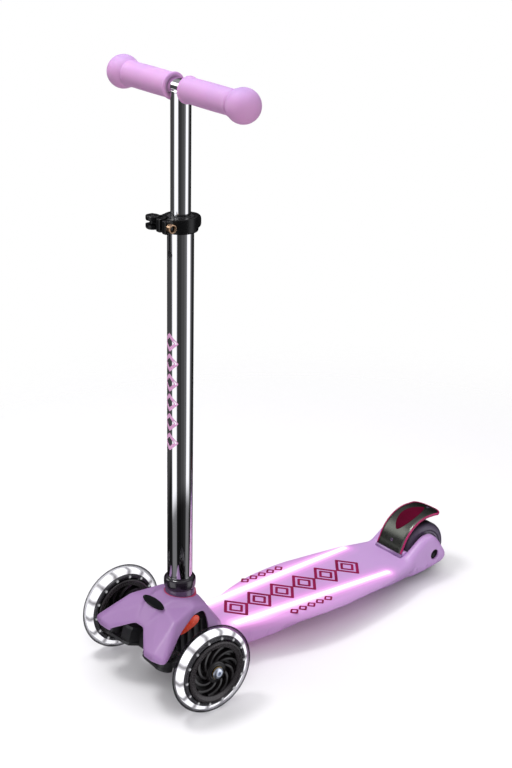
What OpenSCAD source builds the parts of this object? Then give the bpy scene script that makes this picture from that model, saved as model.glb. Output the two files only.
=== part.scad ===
// Three-wheeled kick scooter for a child. The T-bar plugs into a moulded front end,
// whose two trailing wheel carriers swing together when the rider leans.
// X points to the rider's left, Y to the rear, Z up. Lengths are in millimetres.

/* [Overall] */
// Distance between the planes of the two front wheels
track = 203.2; // [198:0.2:215]
// Distance from the front axle to the rear axle
wheelbase = 462; // [455:1:500]
// Height of the handlebar's axis above the ground
bar_height = 788; // [760:1:830]
// Backward lean of the steering column, in degrees
rake = 1.45; // [0:0.05:2]

/* [Wheels] */
// Diameter of each front wheel
front_wheel_d = 120; // [118:1:124]
// Width of each front wheel
front_wheel_w = 24; // [23:0.5:25]
// Diameter of the rear wheel
rear_wheel_d = 80; // [78:1:81]
// Width of the rear wheel
rear_wheel_w = 44; // [40:0.5:45]
// Diameter of the wheel bolts and of the rear axle
axle_d = 8; // [7:0.5:9]
// Outer diameter of the ball bearings
bearing_d = 22; // [21:0.5:24]
// Width of a ball bearing
bearing_w = 7; // [6:0.5:8]
// Number of curved spokes in a front wheel
spokes = 10; // [8:1:12]

/* [T-bar] */
// Outer diameter of the lower tube
lower_tube_d = 33; // [32:0.5:34]
// Outer diameter of the upper tube
upper_tube_d = 25; // [24:0.5:26]
// Wall of both tubes
tube_wall = 2; // [1.5:0.1:2.2]
// Diameter of the cross bar
bar_d = 22; // [20:0.5:23]
// Length over both grips
bar_width = 275; // [260:1:300]
// Diameter of a grip's barrel
grip_d = 31; // [29:0.5:33]
// Diameter of the ball on the end of a grip
grip_ball_d = 41.7; // [38:0.1:44]
// Height of the lower tube's top end
lower_tube_top = 632; // [600:1:645]
// Length of the upper tube that is hidden in the lower tube
tube_overlap = 160; // [155:1:170]

/* [Clamp] */
// Height of the quick-release clamp band
clamp_h = 19; // [18:0.5:21]
// Wall of the clamp band
clamp_wall = 5.2; // [4.5:0.1:6]
// Diameter of the clamp bolt
clamp_bolt_d = 5; // [4:0.5:5.5]

/* [Front end] */
// Distance from a kingpin to its wheel's plane
wheel_offset = 44.6; // [44:0.2:46]
// Distance from the front axle forward to the kingpins
trail = 40; // [39:0.5:41]
// Backward lean of the kingpins, in degrees
king_tilt = 20; // [18:1:22]
// Diameter of a kingpin
kingpin_d = 10; // [9:0.5:11]
// Distance from a kingpin to the tie rod's pivot
tie_arm = 28; // [27:0.5:29]
// Wall of the front cover
cover_wall = 2.6; // [2:0.1:3]
// Radius of the rounded edges of the front cover
cover_r = 5; // [4.5:0.1:6]
// Height of the cover's crown above the front axle
crown_rise = 62; // [61:0.5:64]

/* [Deck] */
// Greatest width of the deck
deck_w = 143; // [135:1:150]
// Thickness of the deck's standing plate
deck_plate = 4; // [3:0.1:5]
// Thickness of the deck's skirt
deck_skirt = 3; // [2.5:0.1:4]
// Height of the deck's plane above the front axle, at that axle
deck_front_rise = 2.8; // [2:0.1:4]
// Height of the deck's plane above the rear axle, at that axle
deck_rear_rise = 3.3; // [3:0.1:4]
// Width of a light strip
strip_w = 11; // [9:0.5:12]
// Thickness of a light strip
strip_t = 2; // [1.5:0.1:2.5]
// Inner width of the rear fork
fork_gap = 54; // [53:0.5:56]
// Thickness of a fork arm
fork_arm = 15; // [13:0.5:16]

/* [Brake] */
// Width of the brake fender
fender_w = 51; // [49:0.5:51.5]
// Thickness of the brake fender
fender_t = 3; // [2.5:0.1:3.5]
// Gap between the rear wheel and the inside of the fender
fender_gap = 11.2; // [11:0.1:13]

/* [Fits] */
// Gap between pieces that move past each other
gap = 0.3; // [0.25:0.05:0.4]
// Radial clearance of a shaft in its hole
fit = 0.05; // [0.02:0.01:0.08]

/* [Hidden] */
$fn = 96;

// Heights of the axles, and the deck's plane between them
front_z = front_wheel_d / 2;
rear_z = rear_wheel_d / 2;
deck_z = front_z + deck_front_rise;
deck_slope = atan((deck_z - rear_z - deck_rear_rise) / wheelbase);
function deck_top(y) = deck_z - y * tan(deck_slope);

// Reach of the part forward and back from the front axle
nose_reach = 23.3;
front_reach = -(trail + nose_reach);
rear_reach = wheelbase + rear_wheel_d / 2;
mid_y = (front_reach + rear_reach) / 2;

// Steering column: its axis at the ground, and the stations along it
column_y = 23;
socket_top = front_z + 68;
socket_bottom = front_z + 4;
socket_d = lower_tube_d + 6;
collar_h = 16;
collar_d = lower_tube_d + 9;
plug_h = 14;
slit_w = 3;
slit_h = 45;
key_r = 4.6;
upper_tube_low = lower_tube_top - tube_overlap;

// Kingpins and the steering bay between the two plates of the housing
king_x = track / 2 - wheel_offset;
king_rise = 7.2;
bay_h = 17;
boss_h = 9.5;
boss_r = kingpin_d / 2 + 6;
plate_t = 4;
plate_gap = bay_h / 2 + gap;
boss_low = -bay_h / 2;
plate_r = boss_r + 0.5;
tie_t = 6;
tie_pin_d = 6;
tie_z = -2.1;
bay_open = 16;
bay_wall = 4;

spring_wire = 0.9;
spring_turns = 3;
spring_r = kingpin_d / 2 + spring_wire + 0.2;

// Front wheels, measured along the axle from the wheel's plane
hub_half = front_wheel_w / 2 - 0.3;
rim_r = front_wheel_d / 2 - 17;
light_r = front_wheel_d / 2 - 4;
light_w = 11;
bearing_in = hub_half - 0.7;

// Rear end
fork_half = fork_gap / 2;
arm_out = fork_half + fork_arm;
cap_r = 8;
deck_front = 58;
deck_rear = wheelbase - rear_wheel_d / 2 - 5;
deck_len = deck_rear - deck_front;
hinge_y = wheelbase - rear_wheel_d / 2 - 6.5;
hinge_pin_d = 4;
lug_r = 4.4;
lug_w = 6.5;
hinge_z = deck_top(hinge_y) + lug_r + gap;
spring_room = 5.5;
barrel_w = fork_half - 1.5 * lug_w - 2 * gap - spring_room;
barrel_in = lug_w / 2 + gap + spring_room;
fender_r = rear_wheel_d / 2 + fender_gap + fender_t;
fender_shift = 2;
fender_to = 163;
fender_end = 84;
fender_tail = [[14, -0.9], [22, -2.7], [29, -4.9], [37, -9]];
fender_bow = 17;

// Release button: centre of its stem, and the side face of the housing
button_y = 20;
button_rise = 37;
side_x = 36;
stem_d = 6;
stem_in = socket_d / 2 + 0.8;

module place() translate([0, -mid_y, 0]) children();
module column() translate([0, column_y, 0]) rotate([-rake, 0, 0]) children();
module deck_plane() translate([0, 0, deck_z]) rotate([-deck_slope, 0, 0]) children();
module steer_plane() translate([0, -trail, front_z + king_rise]) rotate([-king_tilt, 0, 0]) children();
module side(s) mirror([s < 0 ? 1 : 0, 0, 0]) children();
module sides() for (s = [1, -1]) side(s) children();
module front_wheel(s) side(s) translate([track / 2, 0, front_z]) rotate([0, 90, 0]) children();
module rear_wheel() translate([0, wheelbase, rear_z]) rotate([0, 90, 0]) children();

// Extrudes a Y-Z outline along X, from x0 to x1
module along_x(x0, x1) translate([x0, 0, 0]) rotate([90, 0, 90]) linear_extrude(x1 - x0) children();

module ring(r_out, r_in, h) difference() {
    cylinder(r = r_out, h = h);
    translate([0, 0, -1]) cylinder(r = r_in, h = h + 2);
}

// Smooth curve through a list of points, with n steps between neighbours
function bend(a, b, c, d, t) = 0.5 * (2 * b + (c - a) * t + (2 * a - 5 * b + 4 * c - d) * t * t
    + (3 * b - a - 3 * c + d) * t * t * t);
function curve(p, n) = let (last = len(p) - 1) concat(
    [for (i = [0 : last - 1], j = [0 : n - 1])
        bend(p[max(i - 1, 0)], p[i], p[i + 1], p[min(i + 2, last)], j / n)],
    [p[last]]);
function closed_curve(p, n) = let (m = len(p)) [for (i = [0 : m - 1], j = [0 : n - 1])
    bend(p[(i + m - 1) % m], p[i], p[(i + 1) % m], p[(i + 2) % m], j / n)];

// Skin over a list of rings that have the same number of points. The ends are fans, or for a
// ring that runs out along one line and back along another, strips between the two lines
module loft(rings, folded = false) {
    n = len(rings[0]);
    m = len(rings);
    points = [for (r = rings) each r];
    walls = [for (i = [0 : m - 2], j = [0 : n - 1]) let (a = i * n + j, b = i * n + (j + 1) % n)
        each [[b, a, b + n], [b + n, a, a + n]]];
    end = folded
        ? [for (j = [0 : n / 2 - 2]) each [[j, j + 1, n - 1 - j], [j + 1, n - 2 - j, n - 1 - j]]]
        : [for (j = [1 : n - 2]) [0, j, j + 1]];
    caps = [for (t = end) each [t, [for (k = [2, 1, 0]) t[k] + (m - 1) * n]]];
    polyhedron(points, concat(walls, caps));
}

// Round wire wound into a coil along Z
module coil(r, wire, turns, pitch) {
    steps = 14;
    sides = 6;
    loft([for (i = [0 : turns * steps]) let (a = i * 360 / steps)
        [for (k = [sides - 1 : -1 : 0]) let (b = k * 360 / sides, q = r + wire * cos(b))
            [q * cos(a), q * sin(a), pitch * i / steps + wire * sin(b)]]]);
}

// ---- Deck ----

// Stations of the deck: share of its length, share of its half width, rim height
// above the rear axle and inward slope of the skirt
deck_stations = [[0, 0.47, -16, 5], [0.06, 0.475, -19, 5], [0.13, 0.545, -20, 6],
    [0.2, 0.67, -17, 8], [0.275, 0.81, -12, 10], [0.37, 0.935, -5, 12], [0.465, 0.99, 0, 13],
    [0.56, 1, 1, 13], [0.665, 0.95, -2, 12], [0.765, 0.89, -9, 10], [0.86, 0.82, -14, 8],
    [0.93, 0.74, -18, 7], [1, 0.65, -20, 6]];
deck_edge_r = 10;

function deck_ring(s) = let (
    y = deck_front + s[0] * deck_len, w = s[1] * deck_w / 2, top = deck_top(y),
    rim = rear_z + s[2], e = deck_edge_r * min(1, 0.5 + 2.5 * s[0]), tuck = s[3],
    arc = [for (a = [90 : -15 : 0]) [cos(a), sin(a)]],
    outer = concat([for (c = arc) [w - e + e * c[0], top - e + e * c[1]]], [[w - tuck, rim]]),
    inner = concat([for (c = arc) [w - e + (e - deck_skirt) * c[0], top - e + (e - deck_plate) * c[1]]],
        [[w - tuck - deck_skirt, rim]]),
    last = len(outer) - 1)
    concat([for (i = [last : -1 : 0]) [-outer[i][0], y, outer[i][1]]], [for (p = outer) [p[0], y, p[1]]],
        [for (i = [last : -1 : 0]) [inner[i][0], y, inner[i][1]]], [for (p = inner) [-p[0], y, p[1]]]);

function deck_half(y) = let (t = (y - deck_front) / deck_len, s = deck_stations)
    deck_w / 2 * lookup(t, [for (q = s) [q[0], q[1]]]);

rib_drop = 11;
rib_t = 2;
box_from = 180;
box_len = 96;
box_half = 24;
box_h = 13;

module deck_ribs() deck_plane() {
    for (y = [box_from - 66 : 22 : deck_rear - 24])
        for (s = [1, -1]) side(s) {
            beside_box = y > box_from - 6 && y < box_from + box_len + 6;
            from = beside_box ? box_half + 4 : 0;
            translate([from, y - rib_t / 2, -rib_drop])
                cube([deck_half(y) - deck_skirt - 2 - from, rib_t, rib_drop - 1]);
        }
    sides() translate([box_half + 2, box_from - 66, -rib_drop])
        cube([rib_t, deck_rear - box_from + 60, rib_drop - 1]);
}

// Side view of a fork arm, measured from the rear axle; drop lowers its top edge
arm_edge = [[-62, -1], [-38, 17], [-22, 28], [-9, 31.5], [0, 30], [9, 22], [19, 7], [27, -8],
    [22, -17], [12, -20], [-7, -22], [-28, -24], [-56, -22]];
module arm_outline(inset) translate([wheelbase, rear_z])
    polygon([for (p = closed_curve(arm_edge, 3)) p * (1 - inset)]);

module fork_arm_solid() hull() {
    along_x(fork_half, fork_half + fork_arm / 2) arm_outline(0);
    along_x(arm_out - 1, arm_out) arm_outline(0.1);
    translate([arm_out, deck_rear - 14, rear_z - 14]) cube([3, 12, 10]);
}

module hinge_lugs() translate([0, hinge_y, hinge_z]) {
    along_x(-lug_w / 2, lug_w / 2) lug_outline();
    sides() along_x(fork_half - lug_w, fork_half + 2) lug_outline();
}
module lug_outline() {
    circle(r = lug_r);
    translate([-lug_r, -lug_r - 2]) square([2 * lug_r, lug_r + 2]);
}

module strip_outline(grow) {
    front = [32.5, 96];
    back = [46.5, deck_rear - 55];
    r = strip_w / 2 + grow;
    union() {
        translate(front) circle(r);
        translate(back) circle(r - 1);
        polygon([[front[0] - r, front[1]], [front[0] + r, front[1]], [back[0] + r - 1, back[1]],
            [back[0] - r + 1, back[1]]]);
    }
}

module deck() place() color([0.72, 0.56, 0.82]) difference() {
    union() {
        loft([for (s = curve(deck_stations, 3)) deck_ring(s)], true);
        deck_ribs();
        translate([-40, deck_rear - 12, rear_z - 20]) cube([80, 11.4, deck_top(deck_rear) - rear_z + 18]);
        sides() fork_arm_solid();
        hinge_lugs();
    }
    deck_plane() for (s = [1, -1]) side(s)
        translate([0, 0, -strip_t]) linear_extrude(strip_t + 4) strip_outline(0);
    rear_wheel() {
        translate([0, 0, -arm_out - 5]) cylinder(r = axle_d / 2 + fit, h = 2 * arm_out + 10);
        for (s = [1, -1]) translate([0, 0, s > 0 ? arm_out - 4 : -arm_out - 4])
            cylinder(r = cap_r, h = 8);
    }
    translate([0, hinge_y, hinge_z]) rotate([0, 90, 0])
        translate([0, 0, -arm_out]) cylinder(r = hinge_pin_d / 2 + fit, h = 2 * arm_out);
}

module light_strip(s) place() color([1, 0.93, 1]) deck_plane() side(s)
    translate([0, 0, -strip_t]) linear_extrude(strip_t + 0.4) strip_outline(0);
module light_strip_left() light_strip(1);
module light_strip_right() light_strip(-1);

module battery_box() place() color([0.12, 0.12, 0.13]) deck_plane() difference() {
    translate([-box_half, box_from, -deck_plate - box_h])
        cube([2 * box_half, box_len, box_h]);
    translate([0, box_from + box_len / 2, -deck_plate - box_h - 1]) cylinder(r = 6 + gap, h = 5);
}

module power_button() place() color([0.55, 0.05, 0.2]) deck_plane()
    translate([0, box_from + box_len / 2, -deck_plate - box_h - 1.4]) cylinder(r = 6, h = 3.4);

// ---- Front end ----

// Rounded corners of the cover as [x, y, height above the front axle], one side only
cover_body = [[8, -35, 31], [14, -16, crown_rise - 10], [16, 5, crown_rise - 5],
    [18, 25, crown_rise - 6], [15, 41, crown_rise - 11], [35, 22, crown_rise - 12],
    [33, 40, crown_rise - 17], [40, 52, 20], [40, 12, 34], [28, 66, 10], [40, 52, 2],
    [28, 70, -2]];
cover_wing = [[6, -8, crown_rise - 9], [8, -35, 31], [35, 20, crown_rise - 12],
    [32, 10, 32], [king_x - 10, -trail + 22, crown_rise - 16], [king_x - 7, -trail + 24, 38],
    [king_x + 4, -trail + 2, 27], [king_x + 14, front_reach + 9, 17], [king_x + 12, front_reach + 8, 12],
    [king_x + 1, front_reach + cover_r, 21], [king_x - 15.5, front_reach + cover_r + 0.3, 18],
    [king_x - 15.5, front_reach + cover_r + 0.3, 12]];
module cover_ball(p, r) translate([p[0], p[1], front_z + p[2]]) sphere(r = r, $fn = 20);
module cover_hull(list, r, drop) hull() for (p = list) {
    cover_ball(p, r);
    if (drop > 0) translate([0, 0, -drop]) cover_ball(p, r);
}
module cover_form(r, drop) {
    hull() for (s = [1, -1], p = cover_body) side(s) {
        cover_ball(p, r);
        if (drop > 0) translate([0, 0, -drop]) cover_ball(p, r);
    }
    sides() cover_hull(cover_wing, r, drop);
}

// Lower rim of the cover in side view, measured from the front axle
rim_edge = [[-75, 14.5], [-60, 15], [-46, 18.5], [-34, 25], [-22, 33], [-8, 39], [8, 43], [22, 45.5],
    [31, 45.5], [36, 42], [38, 34], [39, 20], [41, -10]];
notch_half = king_x - 18.5;
notch_top = 10;
module cover_rim_cut() {
    along_x(-track, track) translate([0, front_z])
        polygon(concat([[-75, -90]], curve(rim_edge, 3), [[41, -90]]));
    translate([0, -20, 0]) rotate([90, 0, 0]) linear_extrude(60) translate([0, front_z])
        polygon([[-notch_half, 17], [-notch_top, 32], [notch_top, 32], [notch_half, 17], [notch_half, -60],
            [-notch_half, -60]]);
}

module gasket_outline(grow) hull() {
    circle(r = socket_d / 2 + 2.2 + grow);
    translate([0, socket_d / 2 + 5]) circle(r = 1 + grow);
}
gasket_rise = 53;
gasket_tilt = 8;
gasket_t = 5;
module gasket_plane() translate([0, column_y + (front_z + gasket_rise) * tan(rake), front_z + gasket_rise])
    rotate([-gasket_tilt, 0, 0]) children();

badge_half = 23;
module badge_plane() translate([0, -16.5, front_z + crown_rise - 5]) rotate([22, 0, 0]) children();
module badge_outline(grow) resize([2 * badge_half + 2 * grow, 17 + 2 * grow]) circle(r = badge_half);

module front_cover() place() color([0.70, 0.56, 0.82]) difference() {
    cover_form(cover_r, 0);
    cover_form(cover_r - cover_wall, 70);
    cover_rim_cut();
    deck_plane() translate([-100, 0, -60]) cube([200, 120, 60 + gap]);
    column() translate([0, 0, socket_bottom]) cylinder(r = socket_d / 2 + gap, h = 90);
    gasket_plane() linear_extrude(20) gasket_outline(0);
    badge_plane() linear_extrude(20) badge_outline(0);
}

module cover_gasket() place() color([0.55, 0.05, 0.25]) difference() {
    gasket_plane() linear_extrude(gasket_t) gasket_outline(0);
    column() translate([0, 0, socket_bottom]) cylinder(r = socket_d / 2 + fit, h = 90);
}

module badge() place() color([0.08, 0.08, 0.09]) badge_plane() linear_extrude(1.6) badge_outline(0);

// Plate of the steering bay: discs round the kingpins and a bridge set back between them
module bay_plate(back) union() {
    sides() translate([king_x, 0, 0]) cylinder(r = plate_r, h = plate_t);
    linear_extrude(plate_t) polygon(concat(bay_bridge,
        [[side_x - 2, back - 4], [12, back], [-12, back], [-side_x + 2, back - 4]],
        [for (i = [len(bay_bridge) - 1 : -1 : 0]) [-bay_bridge[i][0], bay_bridge[i][1]]]));
}
bay_bridge = [[bay_open - 2, 12], [bay_open, -4], [26, -8], [king_x - 4, -plate_r + 1], [king_x + 1, 0],
    [king_x - 6, plate_r - 3]];

tongue_half = 23;
tongue_t = 6;
tongue_low = deck_plate + gap + tongue_t;
module front_housing() place() color([0.1, 0.1, 0.11]) difference() {
    union() {
        steer_plane() {
            translate([0, 0, plate_gap]) bay_plate(38);
            sides() translate([bay_open, -3, -plate_gap]) cube([bay_wall, 18, 2 * plate_gap]);
            sides() translate([bay_open, -5, -plate_gap]) cube([18, bay_wall, 2 * plate_gap]);
            translate([-bay_open - 1, 11.5, -plate_gap]) cube([2 * bay_open + 2, bay_wall, 2 * plate_gap]);
        }
        along_x(-side_x + 4, side_x - 4) translate([0, front_z])
            polygon([[-5, -22], [52, -22], [52, 22], [40, 38], [-5, 38]]);
        for (i = [0 : 4]) translate([-side_x, 11 * i, front_z - 20]) cube([2 * side_x, 3, i > 3 ? 42 : 52]);
        deck_plane() translate([-tongue_half, 48, -tongue_low]) cube([2 * tongue_half, 62, tongue_t]);
    }
    column() translate([0, 0, socket_bottom]) cylinder(r = socket_d / 2 + fit, h = 90);
    steer_plane() sides() translate([king_x, 0, -30]) cylinder(r = kingpin_d / 2 + fit, h = 60);
    translate([0, button_y, front_z + button_rise]) rotate([0, 90, 0])
        cylinder(r = stem_d / 2 + fit, h = 60);
}

// Lower plate of the steering bay, which closes it from below
module bay_floor() place() color([0.1, 0.1, 0.11]) steer_plane() difference() {
    translate([0, 0, -plate_gap - plate_t]) bay_plate(32);
    sides() translate([king_x, 0, -30]) cylinder(r = kingpin_d / 2 + fit, h = 60);
}

module column_socket() place() color([0.2, 0.16, 0.24]) difference() {
    column() translate([0, 0, socket_bottom])
        ring(socket_d / 2, lower_tube_d / 2 + fit, socket_top - socket_bottom);
    translate([0, button_y, front_z + button_rise]) rotate([0, 90, 0])
        cylinder(r = stem_d / 2 + fit, h = 60);
}

module housing_screws() place() color([0.7, 0.7, 0.72])
    deck_plane() for (x = [-14, 14], y = [76, 100]) translate([x, y, -tongue_low - 2.6])
        cylinder(d = 7, h = 2.6);

// Pad that the finger presses, on its stem
module release_button() place() color([0.85, 0.2, 0.12]) translate([0, button_y, front_z + button_rise]) {
    along_x(side_x + 3.6, side_x + 6) rotate(25) union() {
        translate([-27, 0]) circle(r = 2);
        circle(r = 4.5);
        polygon([[-27, -2], [0, -4.5], [0, 4.5], [-27, 2]]);
    }
    rotate([0, 90, 0]) translate([0, 0, stem_in]) cylinder(d = stem_d, h = side_x + 3.6 - stem_in);
}

module kingpins() place() color([0.75, 0.75, 0.77]) steer_plane() sides() translate([king_x, 0, 0]) {
    translate([0, 0, -plate_gap - plate_t - 1]) cylinder(d = kingpin_d, h = 2 * (plate_gap + plate_t) + 1);
    translate([0, 0, plate_gap + plate_t]) cylinder(d = kingpin_d + 5, h = 2.5);
}

// Wheel carrier: kingpin boss, trailing arm to the axle and arm for the tie rod
module knuckle(s) place() color([0.13, 0.13, 0.14]) side(s) difference() {
    union() {
        steer_plane() translate([king_x, 0, boss_low]) cylinder(r = boss_r, h = boss_h);
        hull() {
            steer_plane() translate([king_x + 3, 3, boss_low + 2])
                cylinder(r = boss_r - 4, h = boss_h - 4, $fn = 32);
            translate([track / 2 - 28, 0, front_z]) rotate([0, 90, 0]) cylinder(r = 8, h = 10, $fn = 32);
        }
        translate([track / 2 - 28, 0, front_z]) rotate([0, 90, 0]) cylinder(r = 10, h = 28 - hub_half - 1.8);
        steer_plane() {
            translate([king_x - 5, 0, tie_z - gap - tie_t]) cube([10, tie_arm, tie_t]);
            translate([king_x, tie_arm, tie_z - gap - tie_t]) cylinder(r = 6, h = tie_t);
        }
    }
    steer_plane() translate([king_x, 0, -30]) cylinder(r = kingpin_d / 2 + fit, h = 60);
    steer_plane() translate([king_x, 0, boss_low + boss_h])
        cylinder(r = spring_r + spring_wire + gap, h = bay_h);
    steer_plane() translate([king_x, tie_arm, -20]) cylinder(r = tie_pin_d / 2 + fit, h = 20);
    translate([track / 2 - 60, 0, front_z]) rotate([0, 90, 0]) cylinder(r = axle_d / 2 + fit, h = 60);
}
module knuckle_left() knuckle(1);
module knuckle_right() knuckle(-1);

module tie_rod() place() color([0.62, 0.62, 0.65]) steer_plane() translate([0, tie_arm, tie_z]) difference() {
    union() {
        sides() translate([king_x, 0, 0]) cylinder(r = 6, h = tie_t);
        translate([-king_x, -4, 0]) cube([2 * king_x, 8, tie_t]);
    }
    translate([king_x, 0, -1]) cylinder(r = tie_pin_d / 2 + fit, h = tie_t + 2);
    translate([-king_x, 0, -1]) cylinder(r = tie_pin_d / 2 + gap, h = tie_t + 2);
}

module tie_pin(s) place() color([0.75, 0.75, 0.77]) side(s) steer_plane() translate([king_x, tie_arm, 0]) {
    translate([0, 0, tie_z - gap - tie_t]) cylinder(d = tie_pin_d, h = 2 * tie_t + 2 * gap);
    translate([0, 0, tie_z + tie_t + gap]) cylinder(d = tie_pin_d + 3, h = 1.6);
}
module tie_pins_left() tie_pin(1);
module tie_pins_right() tie_pin(-1);

module steering_spring(s) place() color([0.75, 0.75, 0.77]) side(s) steer_plane()
    translate([king_x, 0, boss_low + boss_h + spring_wire])
        coil(spring_r, spring_wire, spring_turns, 2 * spring_wire);
module steering_spring_left() steering_spring(1);
module steering_spring_right() steering_spring(-1);

// ---- Front wheels ----

module front_axle(s) place() color([0.85, 0.85, 0.87]) front_wheel(s) difference() {
    union() {
        translate([0, 0, -27]) cylinder(d = axle_d, h = 27 + hub_half + 1);
        translate([0, 0, hub_half + 1]) cylinder(r1 = 8, r2 = 7.4, h = 2);
        translate([0, 0, hub_half + 3]) cylinder(r1 = 7.4, r2 = 5, h = 1.6);
    }
    translate([0, 0, hub_half + 1.6]) cylinder(r = 2.9, h = 6, $fn = 6);
}
module front_axle_left() front_axle(1);
module front_axle_right() front_axle(-1);

module axle_washers(s) place() color([0.8, 0.66, 0.36]) front_wheel(s) {
    translate([0, 0, -hub_half - 1.8]) ring(6.5, axle_d / 2 + fit, 1.8);
    translate([0, 0, hub_half]) ring(8.5, axle_d / 2 + fit, 1);
}
module axle_washers_left() axle_washers(1);
module axle_washers_right() axle_washers(-1);

module front_tyre(s) place() color([0.86, 0.88, 0.9, 0.5]) front_wheel(s) rotate_extrude()
    difference() {
        r = front_wheel_w / 2;
        union() {
            translate([front_wheel_d / 2 - r, 0]) circle(r = r);
            translate([rim_r, -r + 1]) square([front_wheel_d / 2 - r - rim_r, 2 * r - 2]);
        }
        translate([rim_r - 1, -light_w / 2]) square([light_r - rim_r + 1, light_w]);
        translate([0, -r - 1]) square([rim_r, 2 * r + 2]);
    }
module front_tyre_left() front_tyre(1);
module front_tyre_right() front_tyre(-1);

module wheel_light(s) place() color([1, 1, 1]) front_wheel(s) rotate_extrude()
    translate([rim_r, -light_w / 2]) square([light_r - rim_r, light_w]);
module wheel_light_left() wheel_light(1);
module wheel_light_right() wheel_light(-1);

boss_wall = 3;
hub_r = bearing_d / 2 + boss_wall;
module swirl_spoke() intersection() {
    difference() {
        translate([26, 0]) circle(r = 26);
        translate([26.6, -0.8]) circle(r = 23.2);
    }
    translate([0, 2]) square([rim_r - 1.5, rim_r]);
    circle(r = rim_r - 1.5);
}

module front_hub(s) place() color([0.07, 0.07, 0.08]) front_wheel(s) difference() {
    union() {
        translate([0, 0, -hub_half + 0.6]) ring(rim_r, rim_r - 3, 2 * hub_half - 1.2);
        translate([0, 0, -hub_half]) ring(rim_r - 1, rim_r - 4.5, 2 * hub_half);
        translate([0, 0, -hub_half]) cylinder(r = hub_r, h = 2 * hub_half);
        translate([0, 0, -1.5]) cylinder(r = rim_r - 2, h = 3);
        for (i = [0 : spokes - 1]) rotate(i * 360 / spokes)
            translate([0, 0, -hub_half + 2]) linear_extrude(2 * hub_half - 4) swirl_spoke();
    }
    for (z = [-bearing_in, bearing_in - bearing_w]) translate([0, 0, z])
        cylinder(d = bearing_d, h = bearing_w);
    translate([0, 0, -hub_half - 1]) cylinder(d = bearing_d - 3, h = 2 * hub_half + 2);
    for (z = [-hub_half - 1, bearing_in]) translate([0, 0, z])
        cylinder(d = bearing_d, h = hub_half - bearing_in + 1);
}
module front_hub_left() front_hub(1);
module front_hub_right() front_hub(-1);

// Ball bearing as its outline, with the groove between its races
module bearing() difference() {
    ring(bearing_d / 2, axle_d / 2 + fit, bearing_w);
    translate([0, 0, bearing_w - 0.5]) ring(bearing_d / 2 - 2, axle_d / 2 + 2, 1);
    translate([0, 0, -0.5]) ring(bearing_d / 2 - 2, axle_d / 2 + 2, 1);
}
module front_bearings(s) place() color([0.7, 0.7, 0.72]) front_wheel(s) {
    translate([0, 0, -bearing_in]) bearing();
    translate([0, 0, bearing_in - bearing_w]) bearing();
    translate([0, 0, -bearing_in + bearing_w])
        ring(axle_d / 2 + 2, axle_d / 2 + fit, 2 * (bearing_in - bearing_w));
}
module front_bearings_left() front_bearings(1);
module front_bearings_right() front_bearings(-1);

// ---- T-bar ----

module lower_tube() place() color([0.6, 0.6, 0.62]) column() difference() {
    translate([0, 0, socket_bottom + 2])
        ring(lower_tube_d / 2, lower_tube_d / 2 - tube_wall, lower_tube_top - socket_bottom - 2);
    translate([-slit_w / 2, -lower_tube_d, lower_tube_top - slit_h]) cube([slit_w, lower_tube_d, slit_h + 1]);
    translate([0, 0, lower_tube_top - slit_h]) rotate([90, 0, 0]) cylinder(r = key_r, h = lower_tube_d);
}

module tube_plug() place() color([0.15, 0.15, 0.16]) column()
    translate([0, 0, socket_bottom + 2]) cylinder(r = lower_tube_d / 2 - tube_wall, h = plug_h);

// Plastic sleeve between the two tubes
module tube_bush() place() color([0.12, 0.12, 0.13]) column() {
    translate([0, 0, lower_tube_top - 40]) ring(lower_tube_d / 2 - tube_wall, upper_tube_d / 2 + fit, 40);
    translate([0, 0, lower_tube_top]) ring(lower_tube_d / 2, upper_tube_d / 2 + fit, 1.5);
}

module base_collar() place() color([0.09, 0.08, 0.1]) column() translate([0, 0, socket_top])
    rotate_extrude() difference() {
    r = collar_d / 2;
    union() {
        translate([0, 2]) square([r, collar_h - 6]);
        square([r - 2, collar_h]);
        translate([r - 2, 2]) circle(r = 2);
        translate([0, collar_h - 4]) square([r - 4, 4]);
        translate([r - 4, collar_h - 4]) circle(r = 4);
    }
    translate([0, -1]) square([lower_tube_d / 2, collar_h + 2]);
    translate([-r, -1]) square([r, collar_h + 2]);
}

// Clamp at the top of the lower tube; its ears face forward
clamp_z = lower_tube_top - 17;
clamp_r = lower_tube_d / 2 + clamp_wall;
ear_w = 9;
ear_y = -lower_tube_d / 2 - 8;
ear_in = 2;
cam_r = 9;
cam_x = -ear_in - ear_w - 3 - cam_r;
lever_w = 3.8;
nut_r = 5.7;
module clamp_band() place() color([0.06, 0.06, 0.065]) column() translate([0, 0, clamp_z]) difference() {
    union() {
        cylinder(r = clamp_r, h = clamp_h);
        translate([0, clamp_r - 8, 2]) cylinder(r = 14, h = clamp_h - 4);
        for (x = [-ear_in - ear_w, ear_in]) translate([x, ear_y - 6, 1])
            cube([ear_w, -ear_y + 2, clamp_h - 2]);
        translate([-ear_in - ear_w - 2.7, ear_y - 5, 4]) cube([3, 10, clamp_h - 8]);
    }
    translate([0, 0, -1]) cylinder(r = lower_tube_d / 2, h = clamp_h + 2);
    translate([-ear_in, -lower_tube_d * 1.5, -1]) cube([2 * ear_in, lower_tube_d * 1.5, clamp_h + 2]);
    translate([-40, ear_y, clamp_h / 2]) rotate([0, 90, 0]) cylinder(d = clamp_bolt_d + 2 * fit, h = 80);
}
module clamp_bolt() place() color([0.7, 0.7, 0.72]) column()
    translate([cam_x, ear_y, clamp_z + clamp_h / 2]) difference() {
    union() {
        rotate([0, 90, 0]) cylinder(d = clamp_bolt_d, h = -cam_x + ear_in + ear_w + 2);
        translate([0, 0, -2]) cylinder(r = 4.4, h = 4);
    }
    translate([0, 0, -5]) cylinder(d = clamp_bolt_d, h = 10);
}
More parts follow.
